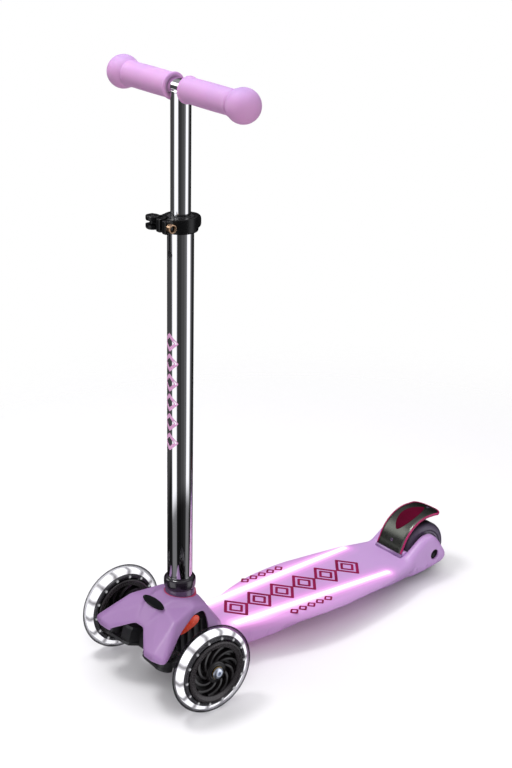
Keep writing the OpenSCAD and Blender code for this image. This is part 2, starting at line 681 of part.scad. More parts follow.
module clamp_nut() place() color([0.72, 0.5, 0.36]) column()
    translate([ear_in + ear_w, ear_y, clamp_z + clamp_h / 2]) rotate([0, 90, 0]) difference() {
        cylinder(r = nut_r, h = 7);
        translate([0, 0, -1]) cylinder(d = clamp_bolt_d, h = 3);
        translate([0, 0, 2]) cylinder(r = 3.2, h = 6, $fn = 6);
    }
module lever_pin() place() color([0.7, 0.7, 0.72]) column()
    translate([cam_x, ear_y, clamp_z + 0.5]) cylinder(d = clamp_bolt_d - 2 * fit, h = clamp_h - 1);

module clamp_lever() place() color([0.06, 0.06, 0.065]) column() translate([0, 0, clamp_z]) difference() {
    union() {
        translate([cam_x, ear_y, 1]) cylinder(r = cam_r, h = clamp_h - 2);
        translate([0, 0, 2]) intersection() {
            ring(clamp_r + 0.8 + lever_w, clamp_r + 0.8, clamp_h - 4);
            linear_extrude(clamp_h) polygon([[cam_x, ear_y + 2], [cam_x - 40, ear_y + 20], [-60, 60],
                [-22, 24], [-8, -10]]);
        }
        translate([cam_x - cam_r, ear_y - 1, 2]) cube([4, 14, clamp_h - 4]);
    }
    translate([cam_x, ear_y, -1]) cylinder(d = clamp_bolt_d, h = clamp_h + 2);
    translate([cam_x - 12, ear_y - 12, clamp_h / 2 - clamp_bolt_d / 2 - gap])
        cube([24, 19, clamp_bolt_d + 2 * gap]);
}

module upper_tube() place() color([0.62, 0.62, 0.64]) column() difference() {
    translate([0, 0, upper_tube_low])
        ring(upper_tube_d / 2, upper_tube_d / 2 - tube_wall, bar_height - upper_tube_low);
    translate([0, 0, bar_height]) rotate([0, 90, 0]) translate([0, 0, -40]) cylinder(d = bar_d, h = 80);
}
module tube_foot() place() color([0.15, 0.15, 0.16]) column() translate([0, 0, upper_tube_low]) {
    cylinder(r = upper_tube_d / 2 - tube_wall, h = 20);
    translate([0, 0, -4]) cylinder(r = lower_tube_d / 2 - tube_wall - 2 * fit, h = 4);
}
grip_in = 13;
module handlebar() place() color([0.62, 0.62, 0.64]) column() translate([0, 0, bar_height]) difference() {
    rotate([0, 90, 0]) translate([0, 0, -bar_width / 2 + 22]) cylinder(d = bar_d, h = bar_width - 44);
    rotate([0, 90, 0]) translate([0, 0, -bar_width / 2]) cylinder(d = bar_d - 3, h = bar_width);
}

// Closed moulded grip: flange, barrel and ball end
module grip(s) place() color([0.87, 0.66, 0.88]) side(s) column()
    translate([0, 0, bar_height]) rotate([0, 90, 0])
    rotate_extrude() difference() {
        ball = bar_width / 2 - grip_ball_d / 2;
        r = grip_d / 2;
        union() {
            translate([0, grip_in + 1.5]) square([r, ball - grip_in - 1.5]);
            translate([0, grip_in]) square([r, 3]);
            translate([r - 0.5, grip_in + 1.6]) circle(r = 1.6);
            translate([0, ball]) circle(d = grip_ball_d);
            translate([r - 3, ball - grip_ball_d / 2 - 3]) circle(r = 3.4);
        }
        translate([0, 0]) square([bar_d / 2, bar_width / 2 - 22]);
        translate([-bar_width, -bar_width]) square([bar_width, 3 * bar_width]);
    }
module grip_left() grip(1);
module grip_right() grip(-1);

// ---- Rear wheel and brake ----

rear_rim_r = rear_wheel_d / 2 - 11;
module rear_tyre() place() color([0.12, 0.11, 0.13]) rear_wheel() rotate_extrude() difference() {
    w = rear_wheel_w / 2;
    e = 9;
    union() {
        translate([rear_rim_r, -w]) square([rear_wheel_d / 2 - rear_rim_r - e, 2 * w]);
        translate([rear_rim_r, -w + e]) square([rear_wheel_d / 2 - rear_rim_r, 2 * w - 2 * e]);
        for (z = [-w + e, w - e]) translate([rear_wheel_d / 2 - e, z]) circle(r = e);
    }
    translate([rear_rim_r - e, -w - 1]) square([e, 2 * w + 2]);
}
rear_hub_half = rear_wheel_w / 2 - 1;
module rear_hub() place() color([0.3, 0.26, 0.34]) rear_wheel() difference() {
    translate([0, 0, -rear_hub_half]) cylinder(r = rear_rim_r, h = 2 * rear_hub_half);
    for (z = [-rear_hub_half - 1, rear_hub_half - bearing_w]) translate([0, 0, z])
        cylinder(d = bearing_d, h = bearing_w + 1);
    translate([0, 0, -rear_hub_half - 1]) cylinder(d = bearing_d - 3, h = 2 * rear_hub_half + 2);
    for (z = [-rear_hub_half - 1, rear_hub_half - 2]) translate([0, 0, z])
        ring(rear_rim_r - 4, bearing_d / 2 + 3, 3);
}
module rear_bearings() place() color([0.7, 0.7, 0.72]) rear_wheel() {
    for (z = [-rear_hub_half, rear_hub_half - bearing_w]) translate([0, 0, z]) bearing();
    translate([0, 0, -rear_hub_half + bearing_w])
        ring(axle_d / 2 + 2, axle_d / 2 + fit, 2 * (rear_hub_half - bearing_w));
}
module rear_axle() place() color([0.75, 0.75, 0.77]) rear_wheel()
    translate([0, 0, -arm_out + 4]) cylinder(d = axle_d, h = 2 * arm_out - 8);
module rear_spacers() place() color([0.7, 0.7, 0.72]) rear_wheel() for (z = [-fork_half, rear_hub_half])
    translate([0, 0, z]) ring(axle_d / 2 + 2, axle_d / 2 + fit, fork_half - rear_hub_half);
module axle_caps() place() color([0.08, 0.06, 0.1]) rear_wheel() for (z = [-arm_out + 1.5, arm_out - 4])
    translate([0, 0, z]) cylinder(r = cap_r - fit, h = 2.5);

// Curved plates of the brake, concentric with an axis just above the rear axle
module fender_axis() translate([0, wheelbase + fender_shift, rear_z + fender_shift]) children();
module fender_sector(r_out, r_in, from, to) difference() {
    intersection() {
        circle(r = r_out);
        polygon(concat([[0, 0]], [for (i = [0 : 6]) let (a = from + i * (to - from) / 6)
            2 * r_out * [cos(a), sin(a)]]));
    }
    circle(r = r_in);
}
module fender_arc(x0, x1, r_out, r_in, from, to) fender_axis()
    along_x(x0, x1) fender_sector(r_out, r_in, from, to);

trim_w = 1.5;
pad_t = 0.8;
shoe_t = 5.5;

// Side view of the fender: round the wheel, then a tail that flattens out
module fender_profile(out, in) {
    outer = concat([for (i = [0 : 19]) let (a = fender_to + i * (fender_end - fender_to) / 19)
        fender_r * [cos(a), sin(a)]],
        [for (p = fender_tail) [p[0], fender_r + p[1]]]);
    m = len(outer) - 1;
    norm = [for (i = [0 : m]) let (d = outer[min(i + 1, m)] - outer[max(i - 1, 0)]) [-d[1], d[0]] / norm(d)];
    polygon(concat([for (i = [0 : m]) outer[i] + out * norm[i]],
        [for (i = [m : -1 : 0]) outer[i] - (fender_t + in) * norm[i]]));
}
module fender_plan(inset) offset(r = 4) offset(delta = -4) polygon(concat(
    [[-fender_w / 2 + inset, -100], [fender_w / 2 - inset, -100]],
    [for (i = [6 : -1 : -6]) let (q = i / 6)
        [q * (fender_w / 2 - inset), fender_tail[3][0] - 0.5 - inset - fender_bow * q * q]]));
module fender_shell(inset, out = 0, in = 0) intersection() {
    fender_axis() linear_extrude(80) fender_plan(inset);
    fender_axis() along_x(-fender_w / 2, fender_w / 2) fender_profile(out, in);
}
module hinge_axis() translate([0, hinge_y, hinge_z]) rotate([0, 90, 0]) children();
module pad_outline() intersection_for(s = [1, -1]) translate([s * 25.5, 0]) circle(r = 39);
module brake_fender() place() color([0.2, 0.21, 0.2]) difference() {
    union() {
        fender_shell(trim_w);
        sides() {
            hinge_axis() translate([0, 0, barrel_in]) cylinder(r = lug_r, h = barrel_w);
            along_x(barrel_in, barrel_in + barrel_w) translate([hinge_y, hinge_z])
                polygon([[-lug_r, 0], [0, 0], [0, 10], [-2.6, 10]]);
        }
    }
    hinge_axis() translate([0, 0, -arm_out]) cylinder(r = hinge_pin_d / 2 + fit, h = 2 * arm_out);
    fender_pad_shape(1);
}
module fender_pad_shape(cut) intersection() {
    fender_arc(-fender_w / 2, fender_w / 2, fender_r + (cut > 0 ? 5 : 0.4), fender_r - pad_t, 60, 150);
    translate([0, wheelbase - 14, rear_z]) rotate([-35, 0, 0]) linear_extrude(90) pad_outline();
}
module fender_pad() place() color([0.4, 0.03, 0.15]) fender_pad_shape(0);
module fender_trim() place() color([0.75, 0.12, 0.42]) difference() {
    fender_shell(0, 0.3, 0.6);
    fender_axis() translate([0, 0, -20]) linear_extrude(120) fender_plan(trim_w);
}
module brake_shoe() place() color([0.55, 0.55, 0.57]) difference() {
    fender_arc(-12, 12, fender_r - fender_t + 1, fender_r - fender_t - shoe_t, fender_end, 118);
    fender_shell(trim_w);
}
module hinge_pin() place() color([0.75, 0.75, 0.77]) hinge_axis()
    translate([0, 0, -fork_half + 0.5]) cylinder(d = hinge_pin_d, h = 2 * fork_half - 1);
module brake_spring() place() color([0.75, 0.75, 0.77]) sides() hinge_axis()
    translate([0, 0, lug_w / 2 + 0.9]) coil(hinge_pin_d / 2 + 0.8, 0.6, 3, 1.3);

deck();
light_strip_left();
light_strip_right();
battery_box();
power_button();
front_cover();
cover_gasket();
badge();
front_housing();
bay_floor();
column_socket();
housing_screws();
release_button();
kingpins();
lower_tube();
tube_plug();
tube_bush();
base_collar();
clamp_band();
clamp_bolt();
clamp_nut();
lever_pin();
clamp_lever();
upper_tube();
tube_foot();
handlebar();
grip_left();
grip_right();
knuckle_left();
knuckle_right();
tie_rod();
tie_pins_left();
tie_pins_right();
steering_spring_left();
steering_spring_right();
front_axle_left();
front_axle_right();
axle_washers_left();
axle_washers_right();
front_tyre_left();
front_tyre_right();
wheel_light_left();
wheel_light_right();
front_hub_left();
front_hub_right();
front_bearings_left();
front_bearings_right();
rear_tyre();
rear_hub();
rear_bearings();
rear_axle();
rear_spacers();
axle_caps();
brake_fender();
fender_trim();
fender_pad();
brake_shoe();
hinge_pin();
brake_spring();
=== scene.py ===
from math import asin, atan, atan2, cos, degrees, hypot, pi, radians, sin, sqrt, tan

import bmesh
import bpy
from mathutils import Matrix, Vector


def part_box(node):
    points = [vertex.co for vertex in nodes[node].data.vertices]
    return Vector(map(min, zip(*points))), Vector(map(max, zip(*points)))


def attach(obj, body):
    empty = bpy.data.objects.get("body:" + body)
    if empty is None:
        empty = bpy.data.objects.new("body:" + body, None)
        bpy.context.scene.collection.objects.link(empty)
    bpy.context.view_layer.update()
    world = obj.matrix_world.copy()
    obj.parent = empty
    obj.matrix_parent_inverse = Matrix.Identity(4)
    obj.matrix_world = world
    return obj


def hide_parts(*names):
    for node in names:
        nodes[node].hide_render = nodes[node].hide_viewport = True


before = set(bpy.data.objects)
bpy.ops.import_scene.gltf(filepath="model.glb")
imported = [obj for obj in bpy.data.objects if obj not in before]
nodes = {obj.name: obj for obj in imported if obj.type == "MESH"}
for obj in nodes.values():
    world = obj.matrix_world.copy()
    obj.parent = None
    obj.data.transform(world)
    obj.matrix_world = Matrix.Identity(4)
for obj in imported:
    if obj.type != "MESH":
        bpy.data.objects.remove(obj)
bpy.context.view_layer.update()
scene = bpy.context.scene

# ---- places
# Pieces are written in millimetres from the point on the ground below the
# front axle, Y to the rear and Z up, and go into the frame's metres.


def move(x, y, z):
    return Matrix.Translation((x, y, z))


def tilt(deg):
    return Matrix.Rotation(radians(deg), 4, "X")


def centre(node):
    lo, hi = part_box(node)
    return (Vector(lo) + Vector(hi)) / 2


AXLE_L = centre("front_tyre_left")
REAR = centre("rear_tyre")
Y0 = AXLE_L.y
MM = move(0, Y0, 0) @ Matrix.Scale(0.001, 4)
TRACK = AXLE_L.x * 1000
FZ = AXLE_L.z * 1000
RZ = REAR.z * 1000
BASE = (REAR.y - Y0) * 1000
RAKE = 1.45
COL = move(0, 23, 0) @ tilt(-RAKE)
DECK_Z = FZ + 2.8
SLOPE = atan((DECK_Z - RZ - 3.3) / BASE)
DECK = move(0, 0, DECK_Z) @ tilt(-degrees(SLOPE))
BAR_Z = 788
CLAMP_Z = 615
SIDES = ((1, "left"), (-1, "right"))
TURN_X = Matrix.Rotation(pi / 2, 4, "Y")
# takes a prism's outline from (X, Y) to (Y, Z), extruded along X
ALONG_X = Matrix(((0, 0, 1, 0), (1, 0, 0, 0), (0, 1, 0, 0), (0, 0, 0, 1)))


def deck_top(y):
    return DECK_Z - y * tan(SLOPE)


def mirror(side, m):
    return Matrix.Scale(side, 4, (1, 0, 0)) @ m


def place(name, data):
    o = bpy.data.objects.new(name, data)
    scene.collection.objects.link(o)
    return o


# ---- camera
cam = place("camera", bpy.data.cameras.new("camera"))
scene.camera = cam
cam.data.lens = 76.47
cam.data.sensor_width = 36
fwd, right = Vector((-0.7137, 0.5815, -0.3904)), Vector((0.6316, 0.7752, 0))
cam.matrix_world = move(1.5208, Y0 - 1.083, 1.2134) @ Matrix((right, right.cross(fwd), -fwd)).transposed().to_4x4()

# ---- node graphs


def operator(op):
    return lambda self, other: self.calc(op, other)


class Value:
    """A node's output that takes part in arithmetic."""

    def __init__(self, graph, socket):
        self.graph, self.socket = graph, socket

    def calc(self, op, *more, clamp=False):
        return self.graph.node("Math", dict(enumerate((self, *more))), operation=op, use_clamp=clamp)

    __add__, __sub__, __mul__, __truediv__ = map(operator, ("ADD", "SUBTRACT", "MULTIPLY", "DIVIDE"))

    def hypot(self, other):
        return (self * self + other * other).calc("SQRT")


class Graph:
    """A node tree with short calls for the nodes used here."""

    def __init__(self, tree, coordinates):
        self.t = tree
        self.pos = self.node("TexCoord", out=coordinates)

    def put(self, value, socket):
        """Links a Value to the socket, or sets it to a number or colour."""
        if isinstance(value, Value):
            self.t.links.new(value.socket, socket)
        elif socket.type == "RGBA":
            socket.default_value = (*value, 1)
        else:
            socket.default_value = value

    def node(self, kind, inputs=(), out=0, **settings):
        n = self.t.nodes.new("ShaderNode" + kind)
        for key, value in settings.items():
            setattr(n, key, value)
        for key, value in dict(inputs).items():
            self.put(value, n.inputs[key])
        return Value(self, n.outputs[out])

    def axes(self):
        first = self.node("SeparateXYZ", {0: self.pos})
        return [Value(self, out) for out in first.socket.node.outputs]

    def noise(self, scale, detail=3, stretch=None):
        at = self.node("Mapping", {"Vector": self.pos, "Scale": stretch}) if stretch else self.pos
        return self.node("TexNoise", {"Vector": at, "Scale": scale, "Detail": detail}, "Fac")

    def ramp(self, fac, *stops):
        """A colour ramp; a stop is a position with a grey or a colour."""
        out = self.node("ValToRGB", {"Fac": fac})
        els = out.socket.node.color_ramp.elements
        while len(els) < len(stops):
            els.new(0.5)
        for e, (p, c) in zip(els, stops):
            e.position = p
            e.color = (*c, 1) if isinstance(c, tuple) else (c, c, c, 1)
        return out

    def smooth(self, x, x0, x1, low=0, high=1):
        return self.node("MapRange", dict(enumerate((x, x0, x1, low, high))), interpolation_type="SMOOTHSTEP")

    def mix(self, fac, a, b, blend="MIX"):
        return self.node("Mix", {0: fac, 6: a, 7: b}, 2, data_type="RGBA", blend_type=blend)

    def blend(self, fac, a, b):
        """A mix of two shaders."""
        return self.node("MixShader", {0: fac, 1: a, 2: b})


class Mat(Graph):
    """A material; colour may be what tint takes, rough what grain takes, and either can be None."""

    def __init__(self, name, colour, rough, metal=0, **sockets):
        self.m = bpy.data.materials.new(name)
        self.m.use_nodes = True
        super().__init__(self.m.node_tree, "Object")
        self.b = self.t.nodes["Principled BSDF"]
        self.shader = Value(self, self.b.outputs[0])
        self.set(Metallic=metal, **sockets)
        if colour and isinstance(colour[0], tuple):
            self.tint(*colour)
        elif colour:
            self.set(Base_Color=colour)
        if isinstance(rough, tuple):
            self.grain(*rough)
        elif rough:
            self.set(Roughness=rough)

    def set(self, **sockets):
        for key, value in sockets.items():
            self.put(value, self.b.inputs[key.replace("_", " ")])

    def surface(self, shader):
        self.put(shader, self.t.nodes["Material Output"].inputs["Surface"])

    def bump(self, height, strength, distance):
        """Adds a bump on top of those that are there."""
        normal = self.b.inputs["Normal"]
        inputs = {"Height": height, "Strength": strength, "Distance": distance}
        if normal.is_linked:
            inputs["Normal"] = Value(self, normal.links[0].from_socket)
        self.set(Normal=self.node("Bump", inputs))

    def grain(self, lo, hi, scale=900, bump=0.1, distance=0.0001):
        """Fine moulded grain: roughness between lo and hi, and a shallow bump."""
        speck = self.noise(scale, 2)
        self.set(Roughness=self.ramp(speck, (0.3, lo), (0.7, hi)))
        self.bump(speck, bump, distance)

    def tint(self, a, b, scale=14, lo=0.35, hi=0.65, detail=4):
        """Base colour that drifts between a and b."""
        self.set(Base_Color=self.mix(self.ramp(self.noise(scale, detail), (lo, 0), (hi, 1)), a, b))


# ---- meshes


def new(make, *args, **options):
    """A new bmesh with one form in it."""
    bm = bmesh.new()
    make(bm, *args, **options)
    return bm


def shift(bm, matrix):
    bmesh.ops.transform(bm, matrix=matrix, verts=bm.verts)
    return bm


def to_mesh(bm, name="scratch"):
    bmesh.ops.recalc_face_normals(bm, faces=bm.faces)
    me = bpy.data.meshes.new(name)
    bm.to_mesh(me)
    bm.free()
    return me


def add_mesh(bm, me):
    bm.from_mesh(me)
    bpy.data.meshes.remove(me)


def to_object(bm, name, mat, body, slot, node="", sharp=35, matrix=Matrix()):
    """Finishes a piece; node is the CAD node it stands for, matrix its place in millimetres."""
    me = to_mesh(shift(shift(bm, matrix), MM), name)
    me.materials.append(mat.m)
    me.polygons.foreach_set("use_smooth", [True] * len(me.polygons))
    if sharp < 180:
        me.set_sharp_from_angle(angle=radians(sharp))
    o = place(name, me)
    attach(o, body)
    if node:
        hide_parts(node)


def grid(bm, rows, closed_u=False, closed_v=True, cap=False):
    """Skin over rows of points; v runs along a row, u from row to row."""
    vs = [[bm.verts.new(p) for p in row] for row in rows]
    nu, nv = len(vs), len(vs[0])
    for i in range(nu if closed_u else nu - 1):
        for j in range(nv if closed_v else nv - 1):
            a, b = vs[i][j], vs[i][(j + 1) % nv]
            c, d = vs[(i + 1) % nu][(j + 1) % nv], vs[(i + 1) % nu][j]
            bm.faces.new((a, b, c, d))
    if cap:
        bm.faces.new(vs[0][::-1])
        bm.faces.new(vs[-1])
    return [v for row in vs for v in row]


def lathe(bm, profile, seg=96, matrix=Matrix()):
    """Revolves (radius, height) points about Z. A radius of 0 makes a pole."""
    made, ring = [], []
    for r, h in profile:
        turns = [2 * pi * k / seg for k in range(seg)] if r else [0]
        ring.append([bm.verts.new((r * cos(a), r * sin(a), h)) for a in turns])
        made += ring[-1]
    if profile[0][0] and profile[-1][0]:
        ring.append(ring[0])
    for a, b in zip(ring, ring[1:]):
        for k in range(seg):
            face = []
            for v in (a[k % len(a)], a[(k + 1) % len(a)], b[(k + 1) % len(b)], b[k % len(b)]):
                if v not in face:
                    face.append(v)
            if len(face) > 2:
                bm.faces.new(face)
    bmesh.ops.transform(bm, matrix=matrix, verts=made)


def rod(r, z0, z1, seg=32, matrix=Matrix()):
    """A cylinder to cut with."""
    return new(lathe, [(0, z0), (r, z0), (r, z1), (0, z1)], seg, matrix)


def pair(bm, profile, seg, matrix=Matrix()):
    """A turned form and its mirror image below."""
    for s in (1, -1):
        lathe(bm, [(r, s * h) for r, h in profile], seg, matrix)


def both(half):
    """A profile given below the middle, carried on to its mirror image above."""
    return half + [(r, -h) for r, h in half[::-1]]


def arc(cx, cy, r, a0, a1, n):
    turns = [radians(a0 + (a1 - a0) * i / n) for i in range(n + 1)]
    return [(cx + r * cos(a), cy + r * sin(a)) for a in turns]


def rounded(points, r, n=4):
    """A closed outline with each corner rounded; r is one radius or one per corner."""
    out = []
    m = len(points)
    for i in range(m):
        a, b, c = (Vector(points[(i + k - 1) % m]) for k in range(3))
        u, v = a - b, c - b
        t = min(r[i] if isinstance(r, list) else r, u.length * 0.49, v.length * 0.49)
        p, q = b + u.normalized() * t, b + v.normalized() * t
        for k in range(n + 1):
            s = k / n
            out.append(tuple(p * (1 - s) ** 2 + b * 2 * s * (1 - s) + q * s * s))
    return out


def prism(bm, outline, h0, h1, bevel=0, seg=3, matrix=Matrix()):
    """Extrudes a closed outline from h0 to h1 with rounded rims."""
    area = sum(p[0] * q[1] - q[0] * p[1] for p, q in zip(outline, outline[1:] + outline[:1]))
    pts = [Vector(p) for p in (outline if area > 0 else outline[::-1])]
    levels = [(0, h0), (0, h1)]
    if bevel:
        rim = [(bevel * (1 - sin(a)), bevel * (1 - cos(a))) for a in [pi / 2 * k / seg for k in range(seg + 1)]]
        levels = [(inset, h0 + h) for inset, h in rim] + [(inset, h1 - h) for inset, h in rim[::-1]]
    rows = []
    for inset, h in levels:
        row = []
        for a, p, b in zip(pts[-1:] + pts, pts, pts[1:] + pts[:1]):
            d1, d2 = (p - a).normalized(), (b - p).normalized()
            side = Vector((-d1.y, d1.x))
            m = side + Vector((-d2.y, d2.x))
            m = m.normalized() if m.length > 1e-6 else side
            q = p + m * (inset / max(0.6, m.dot(side)))
            row.append((q.x, q.y, h))
        rows.append(row)
    bmesh.ops.transform(bm, matrix=matrix, verts=grid(bm, rows, cap=True))


def slab(bm, x0, x1, y0, y1, z0, z1, r, matrix=Matrix()):
    """A box with rounded edges."""
    prism(bm, rounded([(x0, y0), (x1, y0), (x1, y1), (x0, y1)], r, 4), z0, z1, min(r, 1.2), 3, matrix)


def hull(bm, tmp):
    """Adds the convex hull of tmp to bm."""
    out = bmesh.ops.convex_hull(tmp, input=tmp.verts)
    inside = [g for g in out["geom_interior"] if isinstance(g, bmesh.types.BMVert)]
    bmesh.ops.delete(tmp, geom=inside, context="VERTS")
    add_mesh(bm, to_mesh(tmp))


def ball_hull(bm, balls):
    """Convex hull over balls given as (x, y, z, r)."""
    tmp = bmesh.new()
    for x, y, z, r in balls:
        bmesh.ops.create_uvsphere(tmp, u_segments=14, v_segments=8, radius=r, matrix=move(x, y, z))
    hull(bm, tmp)


def modified(bm, *modifiers):
    """What is left of bm after modifiers, each a kind and its settings."""
    o = place("scratch", to_mesh(bm))
    for kind, settings in modifiers:
        m = o.modifiers.new(kind, kind)
        for key, value in settings.items():
            setattr(m, key, value)
    me = bpy.data.meshes.new_from_object(o.evaluated_get(bpy.context.evaluated_depsgraph_get()))
    bpy.data.objects.remove(o)
    return new(add_mesh, me)


def remesh(bm, voxel, smooth):
    """Fuses what is in bm into one skin with softened joins."""
    return modified(bm, ("REMESH", {"mode": "VOXEL", "voxel_size": voxel, "adaptivity": 0}),
                    ("SMOOTH", {"factor": 0.5, "iterations": smooth}))


def carve(bm, *cutters):
    """Exact booleans: bm less each cutter bmesh in turn."""
    gone = [place("cutter", to_mesh(c)) for c in cutters]
    out = modified(bm, *[("BOOLEAN", {"operation": "DIFFERENCE", "object": k, "solver": "EXACT"}) for k in gone])
    for k in gone:
        bpy.data.objects.remove(k)
    bmesh.ops.remove_doubles(out, verts=out.verts, dist=1e-4)
    return out


def curve(points, n):
    """Smooth curve through points with n steps between neighbours."""
    out = []
    ends = points[:1] + points + points[-1:]
    for a, b, c, d in zip(ends, ends[1:], ends[2:], ends[3:]):
        for k in range(n):
            t = k / n
            out.append(tuple(0.5 * (2 * q + (r - p) * t + (2 * p - 5 * q + 4 * r - s) * t * t
                                    + (3 * q - p - 3 * r + s) * t ** 3)
                             for p, q, r, s in zip(a, b, c, d)))
    out.append(tuple(points[-1]))
    return out


def lookup(x, table):
    """Value at x, read from a table of (place, value) rows."""
    if x <= table[0][0]:
        return table[0][1]
    for (a, p), (b, q) in zip(table, table[1:]):
        if x <= b:
            return p + (q - p) * (x - a) / (b - a)
    return table[-1][1]


# ---- finishes
def lilac(name, tint=None):
    m = Mat(name, tint, (0.33, 0.44, 1500, 0.06, 0.00008), Subsurface_Weight=0.12, Subsurface_Scale=0.02,
            Subsurface_Radius=(1, 0.5, 1), Coat_Weight=0.05, Coat_Roughness=0.25)
    m.bump(m.noise(45, 2), 0.05, 0.0006)
    return m


def strip_distance(x, y):
    """Distance in metres from the centre line of the nearer light strip."""
    fx, fy, bx, by = 0.0325, 0.096 + Y0, 0.0465, (BASE - RZ - 60) / 1000 + Y0
    t = (y - fy).calc("DIVIDE", by - fy, clamp=True)
    past = (y * -1 + fy).calc("MAXIMUM", y - by).calc("MAXIMUM", 0)
    return (x.calc("ABSOLUTE") - (t * (bx - fx) + fx)).hypot(past)


def strip_share(y):
    """From 0 near the front of the strips to 1 further back."""
    return (y - (0.1 + Y0)).calc("DIVIDE", 0.25, clamp=True)


M_SHELL = lilac("lilac_shell", ((0.29, 0.16, 0.36), (0.325, 0.18, 0.39), 9, 0.3, 0.7))
# the deck carries a painted glow beside its light strips, emission painted into its own material, and its ribs show
# faintly in the skirt
M_DECK = m = lilac("lilac_deck")
x, y, z = m.axes()
rear = m.ramp(y * 3 + (0.4 - 3 * Y0 - 0.75), (0.3, 0), (0.75, 1))
speck = m.noise(9)
low = z - (y * -tan(SLOPE) + (DECK_Z + Y0 * 1000 * tan(SLOPE) - 13) / 1000)
# painted glow: the deck's emission fades with near, its distance from the nearer strip
near = strip_distance(x, y).hypot(low * 2.2 - 0.0286)
m.set(Base_Color=m.mix(rear, m.mix(speck, (0.49, 0.265, 0.55), (0.55, 0.305, 0.6)),
                       m.mix(speck, (0.465, 0.28, 0.565), (0.505, 0.31, 0.61))),
      Emission_Color=m.ramp(near / (strip_share(y) * -0.016 + 0.042), (0.13, (1, 0.95, 1)),
                            (0.24, (0.9, 0.42, 0.75)), (0.38, (0.42, 0.08, 0.3)), (0.6, (0.14, 0.015, 0.1)),
                            (1, (0.02, 0, 0.015))), Emission_Strength=0.6)
skirt = m.ramp(low * -120 + 0.5, (0.4, 0), (0.9, 1))
wave = (y * (2 * pi / 0.022)).calc("SINE")
m.bump((wave * 0.5 + 0.5).calc("POWER", 6) * skirt, 0.8, 0.0014)

M_STEEL = Mat("zinc_steel", (0.55, 0.55, 0.57), (0.22, 0.42, 500, 0.08), 1)
M_BOLT = Mat("bright_plated", (0.74, 0.8, 0.92), (0.26, 0.38, 700, 0.05), 1)
M_GOLD = Mat("yellow_plated", (0.72, 0.52, 0.22), (0.2, 0.36, 600, 0.08), 1)
M_BRONZE = Mat("bronze_plated", (0.5, 0.33, 0.21), (0.2, 0.38, 600, 0.08), 1)
M_CHROME = m = Mat("chrome", (0.7, 0.7, 0.71), None, 1)
m.set(Roughness=m.ramp(m.noise(60, 5, (1, 1, 0.05)), (0.3, 0.035), (0.75, 0.085)))
m.bump(m.noise(160, 2, (1, 1, 0.02)), 0.004, 0.00004)

M_NYLON = Mat("black_nylon", ((0.014, 0.014, 0.016), (0.028, 0.027, 0.03), 20, 0.35, 0.7, 3),
              (0.36, 0.6, 800, 0.18, 0.00012))
M_GLOSS = Mat("gloss_black", (0.003, 0.003, 0.004), (0.1, 0.18, 500, 0.02), Specular_IOR_Level=0.12)
M_CLAMP = Mat("clamp_black", (0.004, 0.004, 0.0045), (0.22, 0.4, 1100, 0.12), Specular_IOR_Level=0.3)
M_HUB = Mat("hub_black", ((0.005, 0.004, 0.0045), (0.009, 0.0075, 0.0085), 50), (0.15, 0.26, 900, 0.06))
M_RIM = Mat("rim_black", ((0.018, 0.015, 0.017), (0.034, 0.029, 0.032), 30), (0.2, 0.34, 900, 0.06))
M_SMOKE = Mat("smoked_plastic", ((0.07, 0.038, 0.09), (0.11, 0.065, 0.135), 30), (0.18, 0.3, 900, 0.05),
              Coat_Weight=0.5, Coat_Roughness=0.12)
M_LIP = Mat("smoked_lilac", ((0.2, 0.11, 0.26), (0.29, 0.17, 0.36), 40), (0.16, 0.28, 800, 0.05), Coat_Weight=0.5,
            Coat_Roughness=0.1)
M_COLLAR = Mat("collar_black", (0.012, 0.008, 0.014), (0.12, 0.22, 700, 0.03), Coat_Weight=0.3, Coat_Roughness=0.08)
M_MAGENTA = Mat("magenta_rubber", (0.42, 0.006, 0.085), (0.36, 0.55, 1200, 0.15), Sheen_Weight=0.15)
M_RED = Mat("orange_red", ((0.76, 0.05, 0.02), (0.9, 0.085, 0.03), 60), (0.25, 0.4, 1000, 0.08), Coat_Weight=0.3,
            Coat_Roughness=0.15, Subsurface_Weight=0.1, Subsurface_Scale=0.005)

M_GRIP = m = Mat("grip_foam", None, (0.55, 0.72, 700, 0.2), Subsurface_Weight=0.3, Subsurface_Scale=0.012,
                 Subsurface_Radius=(1, 0.45, 0.9), Sheen_Weight=0.1, Sheen_Roughness=0.5, Sheen_Tint=(0.6, 0.45, 1))
# painted shade: the grip's colour turns darker and cooler lilac along its top, lighter warmer pink low on it
rise = m.axes()[2] * (1 / 0.042) + (0.5 - BAR_Z / 42) + (m.noise(16, 4) * 0.5 - 0.25)
m.set(Base_Color=m.ramp(rise, (0.1, (0.6, 0.295, 0.53)), (0.55, (0.575, 0.3, 0.545)), (0.8, (0.5, 0.28, 0.54)),
                        (1, (0.39, 0.245, 0.5))))
m.bump(m.noise(90, 3), 0.12, 0.0006)

# cast clear urethane: seen through, and greyer where the wall is edge-on
M_TYRE = m = Mat("clear_urethane", (0.03, 0.03, 0.032), (0.03, 0.09, 200, 0.01))
facing = m.node("LayerWeight", {"Blend": 0.5}, "Facing")
clear = m.node("BsdfTransparent", {"Color": m.ramp(
    facing, (0, (0.96, 0.96, 0.97)), (0.38, (0.88, 0.88, 0.9)), (0.6, (0.42, 0.42, 0.43)),
    (0.76, (0.2, 0.2, 0.21)), (0.86, (0.5, 0.5, 0.52)), (0.93, (0.04, 0.04, 0.04)))})
m.surface(m.blend(m.ramp(facing, (0, 0.05), (0.5, 0.1), (0.8, 0.25), (0.95, 0.4)), clear, m.shader))
M_CARRIER = Mat("smoke_carrier", ((0.022, 0.02, 0.024), (0.045, 0.042, 0.048), 60), (0.25, 0.4, 500, 0.05))
M_REAR_TYRE = m = Mat("rear_urethane", None, (0.28, 0.48, 700, 0.12), Coat_Weight=0.25, Coat_Roughness=0.3)
